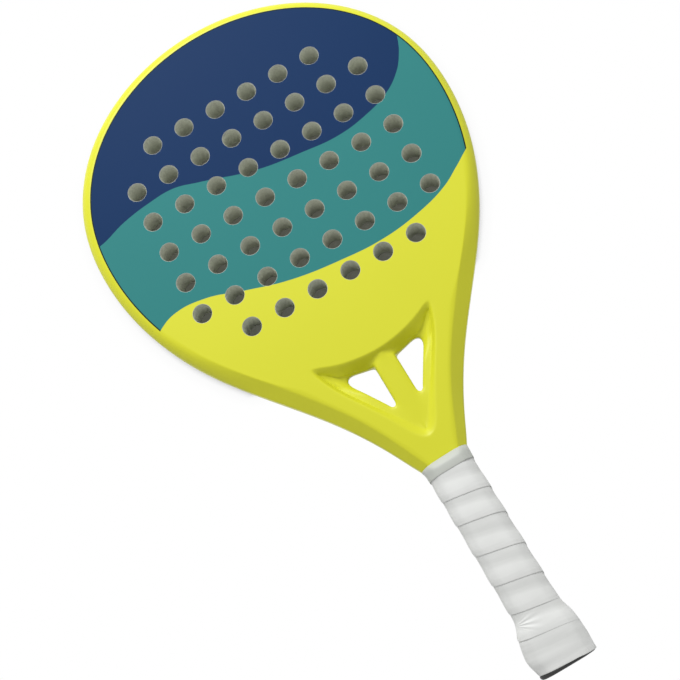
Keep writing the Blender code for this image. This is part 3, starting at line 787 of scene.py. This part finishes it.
rough = math_node(nodes, links, "ADD", rough_shift, varied_in.outputs["Roughness"])
links.new(rough, varied_out.inputs["Roughness"])
links.new(grain.outputs["Fac"], varied_out.inputs["Height"])
print("group:", varied.name)

# %% [markdown]
# ## The printed bands
#
# The print is a thin, dull film on the paint: a dark band over the tip, a lighter band below it
# and bare paint below that. Each border is a wave that runs across the head, so it is drawn as a
# height that depends on X. A Float Curve node holds the wave, which keeps its points easy to move.
# The print ends a few millimetres inside the outline, with a fine dark line along its edge. How
# far a point lies inside that edge is stored on the mesh as an attribute. The group also puts out
# a mask of where the print lies, because the film shines less than the paint.

# %% The waves
WAVE_LEFT = -0.130
WAVE_RIGHT = 0.130
UPPER_WAVE = ((-116.0, 131.1), (-95.3, 136.7), (-76.2, 139.2), (-58.4, 139.3), (-41.6, 133.8),
              (-5.7, 120.7), (22.7, 115.4), (48.4, 112.4), (69.3, 114.7), (87.2, 120.1),
              (100.2, 128.9), (108.1, 138.9), (112.3, 147.1), (114.5, 152.0))
LOWER_WAVE = ((-113.0, 58.4), (-107.8, 62.6), (-95.4, 67.0), (-75.1, 65.3), (-51.2, 56.4),
              (-23.8, 47.2), (9.2, 41.4), (36.4, 39.2), (62.7, 41.6), (85.4, 47.5), (99.4, 54.9),
              (108.6, 60.5), (113.5, 63.3))
WAVE_TOP = 0.180


def wave_height(group, across, wave):
    """Output that gives the height of a wave for a place across the head."""
    nodes, links = group.nodes, group.links
    spread_out = nodes.new("ShaderNodeMapRange")
    spread_out.inputs["From Min"].default_value = WAVE_LEFT
    spread_out.inputs["From Max"].default_value = WAVE_RIGHT
    links.new(across, spread_out.inputs["Value"])
    curve = nodes.new("ShaderNodeFloatCurve")
    points = curve.mapping.curves[0].points
    for x, y in wave:
        points.new((x * MM - WAVE_LEFT) / (WAVE_RIGHT - WAVE_LEFT), y * MM / WAVE_TOP)
    points[0].location = (0.0, points[1].location[1])
    points[len(points) - 1].location = (1.0, points[len(points) - 2].location[1])
    curve.mapping.update()
    links.new(spread_out.outputs["Result"], curve.inputs["Value"])
    return math_node(nodes, links, "MULTIPLY", curve.outputs["Value"], WAVE_TOP)


# %% Borders between colours
def soft_step(group, value, width):
    """Output that rises from 0 to 1 as the value crosses zero."""
    step = group.nodes.new("ShaderNodeMapRange")
    step.interpolation_type = "SMOOTHSTEP"
    step.inputs["From Min"].default_value = -width
    step.inputs["From Max"].default_value = width
    group.links.new(value, step.inputs["Value"])
    return step.outputs["Result"]


def blend_color(group, factor, below, above):
    """Output that goes from one colour to another."""
    mix = group.nodes.new("ShaderNodeMix")
    mix.data_type = "RGBA"
    group.links.new(factor, mix.inputs["Factor"])
    group.links.new(below, mix.inputs[6])
    group.links.new(above, mix.inputs[7])
    return mix.outputs[2]


# %% Group for the bands
BORDER_SOFTNESS = 0.00012
EDGE_LINE = 0.0008
LINE_SOFTNESS = 0.0001

print_group, print_in, print_out = new_group(
    "wave_print",
    (("Vector", VECTOR, None), ("Inside", FLOAT, 0.0), ("Paint", COLOR, (0.7, 0.7, 0.1, 1.0)),
     ("Middle Band", COLOR, (0.06, 0.25, 0.25, 1.0)), ("Top Band", COLOR, (0.02, 0.05, 0.16, 1.0)),
     ("Edge Line", COLOR, (0.012, 0.025, 0.025, 1.0))),
    (("Color", COLOR, None), ("Printed", FLOAT, None)),
)
nodes, links = print_group.nodes, print_group.links
split = nodes.new("ShaderNodeSeparateXYZ")
links.new(print_in.outputs["Vector"], split.inputs["Vector"])
above_lower, above_upper = [
    soft_step(print_group, math_node(nodes, links, "SUBTRACT", split.outputs["Y"],
                                     wave_height(print_group, split.outputs["X"], wave)),
              BORDER_SOFTNESS)
    for wave in (LOWER_WAVE, UPPER_WAVE)]
banded = blend_color(print_group, above_upper, print_in.outputs["Middle Band"],
                     print_in.outputs["Top Band"])
past_line = math_node(nodes, links, "SUBTRACT", print_in.outputs["Inside"], EDGE_LINE)
edged = blend_color(print_group, soft_step(print_group, past_line, LINE_SOFTNESS),
                    print_in.outputs["Edge Line"], banded)
inside = soft_step(print_group, print_in.outputs["Inside"], BORDER_SOFTNESS)
printed = math_node(nodes, links, "MULTIPLY", inside, above_lower)
painted = blend_color(print_group, printed, print_in.outputs["Paint"], edged)
links.new(painted, print_out.inputs["Color"])
links.new(printed, print_out.inputs["Printed"])
print("group:", print_group.name)

# %% [markdown]
# ## The finishes
#
# Each material places the groups with its own values. What is the same all over a surface, such
# as the roughness of the coat, is set on the shader itself. The laminate is painted and has a
# clear coat, but the printed film has none and is duller, so there the mask of the print sets
# the weight of the coat and the roughness.

# %% Material helper
def finish(name, color, roughness, spread_by=0.06, mottle=0.03, mottle_scale=25.0,
           grain_scale=1500.0, bump=0.1, depth=0.0001):
    """A material whose colour, roughness and bump come from the varied surface group."""
    made = bpy.data.materials.new(name)
    made.use_nodes = True
    nodes, links = made.node_tree.nodes, made.node_tree.links
    shader = nodes["Principled BSDF"]
    place = nodes.new("ShaderNodeTexCoord")
    vary = nodes.new("ShaderNodeGroup")
    vary.node_tree = varied
    vary.name = "vary"
    values = {"Color": (*color, 1.0), "Mottle": mottle, "Mottle Scale": mottle_scale,
              "Grain Scale": grain_scale, "Roughness": roughness, "Roughness Spread": spread_by}
    for title, value in values.items():
        vary.inputs[title].default_value = value
    links.new(place.outputs["Object"], vary.inputs["Vector"])
    relief = nodes.new("ShaderNodeBump")
    relief.inputs["Strength"].default_value = bump
    relief.inputs["Distance"].default_value = depth
    links.new(vary.outputs["Height"], relief.inputs["Height"])
    links.new(vary.outputs["Color"], shader.inputs["Base Color"])
    links.new(vary.outputs["Roughness"], shader.inputs["Roughness"])
    links.new(relief.outputs["Normal"], shader.inputs["Normal"])
    return made


# %% Painted and printed laminate
PAINT = (0.755, 0.765, 0.036)
MIDDLE_BAND = (0.040, 0.245, 0.240)
TOP_BAND = (0.008, 0.036, 0.118)
PAINT_ROUGHNESS = 0.42
PRINT_ROUGHNESS = 0.50
PAINT_COAT = 0.40
PRINT_COAT = 0.0
COAT_ROUGHNESS = 0.35
SPECULAR = 0.07

painted_laminate = finish("painted_laminate", PAINT, PAINT_ROUGHNESS, spread_by=0.05, mottle=0.02,
                          mottle_scale=18.0, grain_scale=900.0, bump=0.05, depth=0.00005)
nodes, links = painted_laminate.node_tree.nodes, painted_laminate.node_tree.links
bands = nodes.new("ShaderNodeGroup")
bands.node_tree = print_group
for title, color in (("Paint", PAINT), ("Middle Band", MIDDLE_BAND), ("Top Band", TOP_BAND)):
    bands.inputs[title].default_value = (*color, 1.0)
inside = nodes.new("ShaderNodeAttribute")
inside.attribute_name = "print_edge"
links.new(inside.outputs["Fac"], bands.inputs["Inside"])
links.new(nodes["Texture Coordinate"].outputs["Object"], bands.inputs["Vector"])
links.new(bands.outputs["Color"], nodes["vary"].inputs["Color"])
shader = nodes["Principled BSDF"]
shader.inputs["Specular IOR Level"].default_value = SPECULAR
shader.inputs["Coat Roughness"].default_value = COAT_ROUGHNESS
for socket, paint_value, print_value in (
        (nodes["vary"].inputs["Roughness"], PAINT_ROUGHNESS, PRINT_ROUGHNESS),
        (shader.inputs["Coat Weight"], PAINT_COAT, PRINT_COAT)):
    links.new(math_node(nodes, links, "MULTIPLY_ADD", bands.outputs["Printed"],
                        print_value - paint_value, paint_value), socket)
print("finish:", painted_laminate.name)

# %% Cut laminate, foam, tape and rubber
cut_laminate = finish("cut_laminate", (0.60, 0.62, 0.56), 0.6, mottle=0.25, mottle_scale=400.0)
core_foam = finish("core_foam", (0.72, 0.74, 0.65), 0.95, mottle=0.35, mottle_scale=900.0,
                   grain_scale=2500.0, bump=0.7, depth=0.0003)
tape_film = finish("tape_film", (0.60, 0.625, 0.575), 0.50, mottle=0.05, mottle_scale=80.0,
                   grain_scale=900.0, bump=0.08)
black_rubber = finish("black_rubber", (0.014, 0.014, 0.014), 0.55, mottle=0.2,
                      mottle_scale=200.0, grain_scale=3000.0, bump=0.3)
cushion_foam = finish("cushion_foam", (0.03, 0.03, 0.03), 0.85, bump=0.4)
filler_foam = finish("filler_foam", (0.66, 0.56, 0.36), 0.9, mottle=0.2, mottle_scale=300.0,
                     bump=0.5)
inner_finishes = {"handle_foam_left": filler_foam, "handle_foam_right": filler_foam,
                  "base_grip": cushion_foam}
for name, paint in inner_finishes.items():
    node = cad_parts[name]
    node.data.materials.clear()
    node.data.materials.append(paint)
print("finishes:", len(bpy.data.materials))

# %% [markdown]
# ## Painted sheen on the strap
#
# The overgrip is pulled tight as it is wound. Its colour gets a painted sheen: faint lighter and
# darker streaks along the strap, where the stretched film would catch the light. A noise texture
# gives them when it is read much more finely across the strap than along it. How far a point lies
# across the strap is stored on its mesh as an attribute, so that the streaks follow every turn.

# %% Wrapping with painted sheen streaks
STRETCH_ALONG = 22.0
STRETCH_ACROSS = 190.0
SHEEN_STREAK_DETAIL = 2.0
# Tones of the painted sheen: darker and lighter streaks of the strap's colour.
SHEEN_STREAK_TONES = ((0.36, (0.77, 0.78, 0.76, 1.0)), (0.64, (0.88, 0.89, 0.87, 1.0)))

overgrip_film = finish("overgrip_film", (0.78, 0.79, 0.77), 0.58, mottle=0.06, mottle_scale=60.0,
                       grain_scale=2200.0, bump=0.25)
nodes, links = overgrip_film.node_tree.nodes, overgrip_film.node_tree.links
place = nodes.new("ShaderNodeSeparateXYZ")
links.new(nodes["Texture Coordinate"].outputs["Object"], place.inputs["Vector"])
across_strap = nodes.new("ShaderNodeAttribute")
across_strap.attribute_name = "strap_across"
drawn_out = nodes.new("ShaderNodeCombineXYZ")
for axis, value, stretch in (("X", place.outputs["X"], STRETCH_ALONG),
                             ("Y", across_strap.outputs["Fac"], STRETCH_ACROSS),
                             ("Z", place.outputs["Z"], STRETCH_ALONG)):
    links.new(math_node(nodes, links, "MULTIPLY", value, stretch), drawn_out.inputs[axis])
sheen_streaks = nodes.new("ShaderNodeTexNoise")
sheen_streaks.inputs["Scale"].default_value = 1.0
sheen_streaks.inputs["Detail"].default_value = SHEEN_STREAK_DETAIL
links.new(drawn_out.outputs["Vector"], sheen_streaks.inputs["Vector"])
# The ramp paints the sheen into the colour as lighter and darker streaks.
links.new(ramp_node(nodes, links, sheen_streaks.outputs["Fac"], SHEEN_STREAK_TONES),
          nodes["vary"].inputs["Color"])
print("finish:", overgrip_film.name)

# %% [markdown]
# ## How far the print reaches
#
# The print's edge runs nearly 6 mm inside the outline, but the film was laid a little off centre:
# the border is wider on the left and at the tip. The attribute is the plan distance of each point
# inside that edge, worked out from the nearest point of the outline. The faces lie well inside
# the edge, so they get one number all over.

# %% Store the print edge on the moulding
PRINT_INSET = 0.0057
PRINT_SHIFT = np.array((0.0009, -0.0011))
PRINTED_FROM_Y = -0.02


def store(piece, name, values):
    """Store one number for each vertex as an attribute."""
    attributes = piece.data.attributes
    attribute = attributes.get(name) or attributes.new(name, "FLOAT", "POINT")
    attribute.data.foreach_set("value", np.array(values, np.float32))


right_side = outline[outline[:, 1] > PRINTED_FROM_Y]
full_outline = np.vstack((right_side, right_side * (-1.0, 1.0)))
full_inward = outline_inward[:len(right_side)]
full_inward = np.vstack((full_inward, full_inward * (-1.0, 1.0)))
edge_inset = PRINT_INSET + full_inward @ PRINT_SHIFT
inside_edge = []
for vert in moulding.data.vertices:
    gaps = np.linalg.norm(full_outline - np.array(vert.co[:2]), axis=1)
    closest = int(np.argmin(gaps))
    inside_edge.append(gaps[closest] - edge_inset[closest])
store(moulding, "print_edge", inside_edge)
moulding.data.materials.clear()
moulding.data.materials.append(painted_laminate)
print("print edge inset", PRINT_INSET)

# %% [markdown]
# ## The faces and the core
#
# Each face is a sheet of laminate that lies in the rebate of the moulding, flush with it. To make
# the seam exact, the rebate's own edge is duplicated and separated from the moulding, filled and
# extruded to the sheet's thickness. The foam core is taken from the hidden inner wall in the
# same way.

# %% Take plates from the seams of the moulding
def lies_at(edge, height):
    return all(abs(vert.co.z - height) < 2 * SAME_PLACE for vert in edge.verts)


def plate_from_seam(name, height, thickness, paint):
    """A plate filled into the moulding's seam at a height and extruded down by its thickness."""
    edit(moulding)
    select_edges(moulding, lambda edge: edge.seam and lies_at(edge, height))
    bpy.ops.mesh.duplicate()
    bpy.ops.mesh.separate(type="SELECTED")
    bpy.ops.object.mode_set(mode="OBJECT")
    plate = [o for o in bpy.context.selected_objects if o != moulding][0]
    plate.name = name
    plate.data.name = name
    edit(plate, "SELECT")
    bpy.ops.mesh.edge_face_add()
    bpy.ops.mesh.extrude_region_move(TRANSFORM_OT_translate={"value": (0.0, 0.0, -thickness)})
    bpy.ops.mesh.select_all(action="SELECT")
    bpy.ops.mesh.normals_make_consistent(inside=False)
    bpy.ops.object.mode_set(mode="OBJECT")
    plate.data.materials.clear()
    plate.data.materials.append(paint)
    return plate


CORE_FIT = 0.9975
CORE_CENTRE = (0.0, 0.107, MID_Z)
front_face = plate_from_seam("front_face_print", MID_Z + HALF_DEPTH, SKIN, painted_laminate)
back_face = plate_from_seam("back_face_print", MID_Z - HALF_DEPTH, -SKIN, painted_laminate)
core = plate_from_seam("core_block", MID_Z + rebate_z, 2 * rebate_z, core_foam)
edit(core, "SELECT")
core_half = HALF_DEPTH - SKIN - 2 * SAME_PLACE
bpy.ops.transform.resize(value=(CORE_FIT, CORE_FIT, core_half / rebate_z),
                         center_override=CORE_CENTRE)
bpy.ops.object.mode_set(mode="OBJECT")
print("plates:", [len(plate.data.vertices) for plate in (front_face, back_face, core)])

# %% [markdown]
# ## The drilled holes
#
# Both faces and the core are drilled in one go: seven rows on a square grid, which lies slightly
# turned and off the middle. Each hole could be cut on its own, but one Boolean with all the
# cylinders joined is quicker and gives the same walls.

# %% Drill the holes
HOLE_RADIUS = 0.0060
HOLE_PITCH = 0.0230
HOLE_ROWS = (6, 8, 8, 8, 8, 8, 6)
DRILL_CENTRE = Vector((0.0006, 0.1020, 0.0))
DRILL_TURN = math.radians(-1.23)
DRILL_LENGTH = 0.04
HOLE_SIDES = 48

hole_centres = []
for row, count in enumerate(HOLE_ROWS):
    for column in range(count):
        across = (column - (count - 1) / 2) * HOLE_PITCH
        up = (row - (len(HOLE_ROWS) - 1) / 2) * HOLE_PITCH
        place = Matrix.Rotation(DRILL_TURN, 3, "Z") @ Vector((across, up, 0.0))
        hole_centres.append(place + DRILL_CENTRE)
drills = []
for centre in hole_centres:
    bpy.ops.mesh.primitive_cylinder_add(vertices=HOLE_SIDES, radius=HOLE_RADIUS,
                                        depth=DRILL_LENGTH,
                                        location=(centre.x, centre.y, MID_Z))
    drills.append(bpy.context.object)
drill = join("drill", drills)
pick(drill)
bpy.ops.object.transform_apply(location=True)
for plate in (front_face, back_face, core):
    set_up(plate, "BOOLEAN", operation="DIFFERENCE", object=drill)
    apply_modifiers(plate)
bpy.data.objects.remove(drill)
print("holes drilled:", len(hole_centres))

# %% [markdown]
# ## The edges of the holes
#
# The edges of drilled holes are broken, and the bare laminate shows there as a fine pale rim.
# These edges are found by their place and by the normals beside them, and are bevelled by a
# fraction of a millimetre. The new faces and the walls get the finish of cut laminate.

# %% Break the edges of the holes
RIM_ROUND = 0.0002
RIM_SEGMENTS = 3
FLAT = 0.999
STEEP = 0.5


def near_a_hole(place):
    gaps = [math.hypot(place[0] - c.x, place[1] - c.y) for c in hole_centres]
    return min(gaps) < HOLE_RADIUS + RIM_ROUND


def is_hole_edge(edge, height):
    """Whether an edge at this height runs between a face of the plate and the wall of a hole."""
    wall = any(abs(face.normal.z) < STEEP for face in edge.link_faces)
    return lies_at(edge, height) and wall and near_a_hole(edge.verts[0].co)


def round_hole_edges(plate, height):
    """Bevel the hole edges on the outer side, which shows the cut laminate."""
    edit(plate)
    select_edges(plate, lambda edge: is_hole_edge(edge, height))
    bpy.ops.mesh.bevel(offset=RIM_ROUND, segments=RIM_SEGMENTS, profile=0.5)
    bpy.ops.object.mode_set(mode="OBJECT")
    plate.data.materials.append(cut_laminate)
    for face in plate.data.polygons:
        flat = abs(face.normal.z) > FLAT
        face.material_index = 0 if flat or not near_a_hole(face.center) else 1
        face.use_smooth = True
    mesh_data = bmesh.new()
    mesh_data.from_mesh(plate.data)
    for edge in mesh_data.edges:
        flats = [abs(face.normal.z) > FLAT for face in edge.link_faces]
        edge.smooth = all(flats) or not any(flats)
    mesh_data.to_mesh(plate.data)
    mesh_data.free()


# %% Finish the faces and the core
WELL_INSIDE = 0.010
CORE_ANGLE = 35

for plate, node, side in ((front_face, "front_face", 1), (back_face, "back_face", -1)):
    round_hole_edges(plate, MID_Z + side * HALF_DEPTH)
    store(plate, "print_edge", [WELL_INSIDE] * len(plate.data.vertices))
    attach(plate, "root")
    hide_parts(node)
smooth_by_angle(core, CORE_ANGLE)
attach(core, "root")
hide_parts("foam_core")
print("faces:", len(front_face.data.polygons), "core:", len(core.data.polygons))

# %% [markdown]
# ## The overgrip
#
# The overgrip is one thin strap of soft polyurethane. It is wound from the butt up, and each turn
# laps the turn below. Its section is swept along a helix round the softened octagon of the
# handle: sixteen stations to the turn. The lower edge of every turn lies on the turn below and so
# stands proud, and a few millimetres higher the strap comes down to the handle. The turns are not
# evenly spaced, because a hand wound them.
#
# Each place of the cage is worked out from how far round and how far up it is: the handle's half
# width and half depth at that height come from a table, and the ring from the octagon.

# %% Shape of the handle under the strap
SEAT = np.array((
    (-94.0, 13.8, 14.4, 13.1), (-192.0, 13.7, 14.3, 13.0), (-196.0, 14.0, 14.4, 13.1),
    (-199.0, 15.0, 15.5, 13.4), (-202.0, 16.7, 16.9, 13.9), (-206.0, 18.2, 17.5, 14.3),
    (-211.0, 19.4, 18.0, 14.7), (-216.0, 19.7, 18.2, 14.9), (-220.5, 19.3, 18.3, 14.9),
    (-222.3, 18.4, 18.0, 14.5), (-223.8, 17.4, 17.3, 13.8), (-225.6, 17.8, 18.1, 14.6),
    (-227.0, 17.2, 18.1, 14.3), (-229.0, 16.8, 17.8, 14.0),
)) * MM
HANDLE_EDGE = 4.5 * MM
OCTAGON_GROWTH = 2 - math.sqrt(2)
SOFTENING = 1.6 * MM
PLAIN_Y = -0.15


def octagon(y, half_x, half_z, cut):
    """Sixteen places round a softened octagon, from the front left facet leftwards."""
    quarter = [(half_x - cut, half_z), (half_x, half_z - cut)]
    corners = [(-x, z) for x, z in quarter] + [(-x, -z) for x, z in reversed(quarter)]
    corners += [(-x, -z) for x, z in corners]
    ring = []
    for i, corner in enumerate(corners):
        for neighbour in (corners[i - 1], corners[(i + 1) % len(corners)]):
            gap = np.subtract(neighbour, corner)
            place = corner + gap / np.linalg.norm(gap) * SOFTENING
            ring.append((place[0], y, place[1] + MID_Z))
    return np.array(ring)


def corner_cut(half_z):
    """How far the octagon's corners are cut, so that its facets stay parallel as it grows."""
    return HANDLE_EDGE + OCTAGON_GROWTH * (half_z - HALF_DEPTH)


def grip_ring(y, rise=0.0):
    """The ring at a height on the seat of the strap, grown by a rise. Its sides differ."""
    left, right, half_z = [np.interp(-y, -SEAT[:, 0], SEAT[:, k]) + rise for k in (1, 2, 3)]
    half_x = (left + right) / 2
    ring = octagon(y, half_x, half_z, corner_cut(half_z))
    ring[:, 0] *= np.where(ring[:, 0] < 0, left, right) / half_x
    return ring


plain_ring = grip_ring(PLAIN_Y)
ring_steps = np.linalg.norm(np.diff(plain_ring, axis=0, append=plain_ring[:1]), axis=1)
column_turn = (np.cumsum(ring_steps) - ring_steps + ring_steps[-1] / 2) / ring_steps.sum()
print("handle measures", round(ring_steps.sum(), 4), "round")

# %% Section of the strap
LAPS = np.array((
    (-0.7, -226.6), (-0.2, -228.4), (-0.1, -228.1), (0.0, -227.1), (0.15, -226.1), (0.25, -225.7),
    (0.85, -210.0), (1.15, -204.6), (2.0, -192.7), (3.0, -174.8), (4.0, -155.7), (5.0, -135.0),
    (6.0, -118.9), (6.2, -115.8), (6.5, -111.0), (6.65, -106.0), (6.78, -101.0), (7.0, -98.0),
    (8.0, -80.0),
))
STRAP = 0.42 * MM
STRAP_GAP = 0.04 * MM
LAP_WIDTH = 6.5 * MM
RAMP_WIDTH = 5.0 * MM
LAP_SHARE = 0.6
RAMP_SHARE = 0.8
LAP_SAG = 0.12
RAMP_LIFT = 0.4
EDGE_RISES = (0.35, 0.75)
EDGE_ROUND_ABOVE = 0.5 * MM
EDGE_ROUND_BELOW = 0.4 * MM
LIFTS = np.array(((0.2, 0.0), (0.3, 0.15), (0.85, 0.20), (1.0, 0.5), (1.25, 1.0)))


def lap_y(turn):
    """Height of the strap's lower edge after so many turns, counted at the front."""
    return float(np.interp(turn, LAPS[:, 0], LAPS[:, 1])) * MM


def strap_section(turn):
    """Distance up from the lower edge and rise above the seat, round the strap's section."""
    width = lap_y(turn + 1) - lap_y(turn) + LAP_WIDTH
    lift = float(np.interp(turn, LIFTS[:, 0], LIFTS[:, 1])) * (STRAP + STRAP_GAP)
    lap_end = min(LAP_WIDTH, width * LAP_SHARE)
    ramp_end = min(LAP_WIDTH + RAMP_WIDTH, width * RAMP_SHARE)
    upper = lift + STRAP
    section = [(0.0, lift + STRAP * share) for share in EDGE_RISES]
    section += [(EDGE_ROUND_ABOVE, upper), (lap_end / 2, upper), (lap_end, upper - lift * LAP_SAG)]
    section += [((lap_end + ramp_end) / 2, STRAP + lift * RAMP_LIFT), (ramp_end, STRAP)]
    section += [((ramp_end + width) / 2, STRAP), (width, STRAP), (width, 0.0)]
    section += [(ramp_end, 0.0), (lap_end, lift), (EDGE_ROUND_BELOW, lift)]
    return section


print("strap wound with a pitch of", round(lap_y(4) - lap_y(3), 4), "in the middle")

# %% Sweep the strap along its helix
FIRST_TURN = -0.7
LAST_TURN = 6.9
STRAP_TOP_Y = -0.0975
ROW_STEP = 0.15 * MM
UPPER_EDGE = 8.5

strap_rows = []
across_values = []
for turn_number in range(math.floor(FIRST_TURN), math.ceil(LAST_TURN)):
    for column, share in enumerate(column_turn):
        turn = turn_number + share
        if not FIRST_TURN <= turn <= LAST_TURN:
            continue
        row = []
        for k, (across, rise) in enumerate(strap_section(turn)):
            cut_y = STRAP_TOP_Y - ROW_STEP * abs(UPPER_EDGE - k)
            row.append(grip_ring(min(lap_y(turn) + across, cut_y), rise)[column])
            across_values.append(across)
        strap_rows.append(row)
overgrip = sweep("overgrip_strap", strap_rows, closed=True)
print("strap:", len(strap_rows), "stations of", len(strap_rows[0]))

# %% Close, smooth and finish
SOFT_ANGLE = 60


def close_ends(piece):
    """Fill the open ends and turn all faces outwards."""
    edit(piece)
    bpy.ops.mesh.select_non_manifold()
    bpy.ops.mesh.fill_holes(sides=0)
    bpy.ops.mesh.select_all(action="SELECT")
    bpy.ops.mesh.normals_make_consistent(inside=False)
    bpy.ops.object.mode_set(mode="OBJECT")


def finished(piece, paint, node):
    """Shade a piece, give it its material and hand it over in place of a node."""
    smooth_by_angle(piece, SOFT_ANGLE)
    piece.data.materials.clear()
    piece.data.materials.append(paint)
    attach(piece, "root")
    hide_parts(node)
    print(piece.name, "has", len(piece.data.vertices), "vertices")


# %% Smooth the strap
close_ends(overgrip)
strap_places = np.vstack(strap_rows)
store(overgrip, "strap_across", [across_values[nearest(strap_places, vert.co)]
                                 for vert in overgrip.data.vertices])
subdivide(overgrip)
print("smoothed strap:", len(overgrip.data.polygons), "faces")

# %% [markdown]
# ## The wrinkles over the flare
#
# Where the handle widens towards the butt, one edge of the strap has a longer way round than the
# other, so the strap folds there. A fan of small wrinkles runs out from one place on the front.
# The strap's faces are divided more finely round that place. Each vertex gets a weight from the
# fan, and a Displace modifier lifts it by that weight.

# %% Lay the wrinkles
WRINKLE_PLACE = np.array((-0.0154, -0.1962))
WRINKLE_ANGLE = math.radians(-12)
WRINKLE_SPAN = math.radians(36)
WRINKLE_HEIGHT = 0.0007
WRINKLE_REACH = 0.0175
WRINKLE_CUTS = 2
WRINKLE_RISE = 2.5
WRINKLES = 4
FACING_UP = 0.1

pick(overgrip)
for face in overgrip.data.polygons:
    place = face.center
    gap = np.linalg.norm(np.array(place[:2]) - WRINKLE_PLACE)
    face.select = place.z > MID_Z and face.normal.z > FACING_UP and gap < WRINKLE_REACH
bpy.ops.object.mode_set(mode="EDIT")
bpy.ops.mesh.subdivide(number_cuts=WRINKLE_CUTS, quadcorner="INNERVERT")
bpy.ops.object.mode_set(mode="OBJECT")
folds = overgrip.vertex_groups.new(name="wrinkles")
for vert in overgrip.data.vertices:
    offset = np.array(vert.co[:2]) - WRINKLE_PLACE
    distance = np.linalg.norm(offset) / WRINKLE_REACH
    aside = (math.atan2(offset[1], offset[0]) - WRINKLE_ANGLE) / WRINKLE_SPAN
    if vert.co.z < MID_Z or distance > 1.0 or abs(aside) > 1.0:
        continue
    fan = math.cos(aside * math.pi * WRINKLES / 2) ** 2
    fade = min(distance * WRINKLE_RISE, 1.0) * (1 - distance) * (1 - aside ** 2)
    folds.add([vert.index], fan * fade, "REPLACE")
set_up(overgrip, "DISPLACE", strength=WRINKLE_HEIGHT, mid_level=0.0, vertex_group="wrinkles")
apply_modifiers(overgrip)
finished(overgrip, overgrip_film, "overgrip")

# %% [markdown]
# ## The finishing tape
#
# A smooth, stretchy tape closes the top of the overgrip and is stuck to the paint above it. It is
# a closed band: rings run up its outside, down its inside and back to the first. At the paint it
# has the section of the neck of the frame, and below it has the section of the wrapped handle,
# which lies a touch further to the right. Its top edge runs a little askew and is drawn up at the
# front and the back, where the tape was pulled over the flat.

# %% Sweep the tape
TAPE_ROWS = np.array((
    (-102.3, 15.00, 13.75), (-101.8, 15.10, 13.95), (-98.2, 15.25, 14.10), (-96.9, 15.35, 13.80),
    (-95.2, 15.50, 12.65), (-93.8, 15.85, 11.40), (-93.8, 15.60, 11.10), (-95.2, 15.25, 12.35),
    (-96.9, 15.10, 13.50), (-98.2, 14.95, 13.80), (-101.8, 14.85, 13.70), (-102.3, 15.00, 13.75),
)) * MM
NECK_HALF_Z = TAPE_ROWS[5][2]
WRAPPED_HALF_Z = TAPE_ROWS[2][2]
NECK_CUT = 5.2 * MM
TAPE_ARCH = 1.1 * MM
ARCH_MIDDLE = 0.5
TAPE_SLANT = 0.025
TAPE_SHIFT = 0.4 * MM


def tape_ring(y, half_x, half_z):
    """A ring of the tape, whose top is drawn up at the front and the back."""
    share = (half_z - NECK_HALF_Z) / (WRAPPED_HALF_Z - NECK_HALF_Z)
    share = min(max(share, 0.0), 1.0)
    ring = octagon(y, half_x, half_z, NECK_CUT + (corner_cut(half_z) - NECK_CUT) * share)
    ring[:, 0] += share * TAPE_SHIFT
    arch = TAPE_ARCH * (((ring[:, 2] - MID_Z) / half_z) ** 2 - ARCH_MIDDLE)
    ring[:, 1] += (1 - share) * (arch + TAPE_SLANT * ring[:, 0])
    return ring


tape = sweep("grip_tape", [tape_ring(*row) for row in TAPE_ROWS], closed=True)
tape = join("grip_tape", [tape], merge=2 * SAME_PLACE)
close_ends(tape)
subdivide(tape)
finished(tape, tape_film, "finishing_tape")

# %% [markdown]
# ## The butt cap
#
# The cap is moulded in black rubber. The strap covers its flare, so only the rounded rim and the
# end face show. A hole for the wrist cord goes through its floor. Rings run from the hole over
# the end face and up the outside, then down the inside and back to the hole.

# %% Sweep the cap
CAP_ROWS = np.array((
    (-229.0, 16.0, 12.8), (-228.7, 17.2, 13.9), (-227.9, 17.9, 14.6), (-226.7, 18.0, 14.7),
    (-226.0, 17.2, 13.8), (-224.0, 16.8, 13.2), (-217.0, 17.8, 14.2), (-211.0, 17.6, 14.1),
    (-205.5, 16.8, 13.9), (-201.0, 15.4, 13.3), (-197.4, 13.4, 12.6), (-197.2, 13.0, 12.3),
    (-197.2, 12.3, 11.6), (-197.6, 12.0, 11.4), (-221.8, 12.0, 11.4), (-222.3, 11.6, 11.0),
)) * MM
CORD_HOLE = ((-222.3, 4.2), (-222.7, 3.6), (-228.2, 3.5), (-229.0, 4.2))


def cap_ring(y, half_x, half_z):
    return octagon(y, half_x, half_z, corner_cut(half_z))


def round_ring(y, radius):
    """Sixteen places of a circle in the directions of the octagon's places."""
    ring = cap_ring(y, *CAP_ROWS[0][1:])
    offset = ring - (0.0, 0.0, MID_Z)
    offset[:, 1] = 0.0
    offset *= radius / np.linalg.norm(offset, axis=1)[:, None]
    return offset + (0.0, y, MID_Z)


cap_rows = [round_ring(y * MM, radius * MM) for y, radius in CORD_HOLE]
cap_rows += [cap_ring(*row) for row in CAP_ROWS]
cap_rows.append(cap_rows[0])
cap = sweep("butt_cap_rubber", cap_rows, closed=True)
cap = join("butt_cap_rubber", [cap], merge=2 * SAME_PLACE)
close_ends(cap)
subdivide(cap)
finished(cap, black_rubber, "butt_cap")
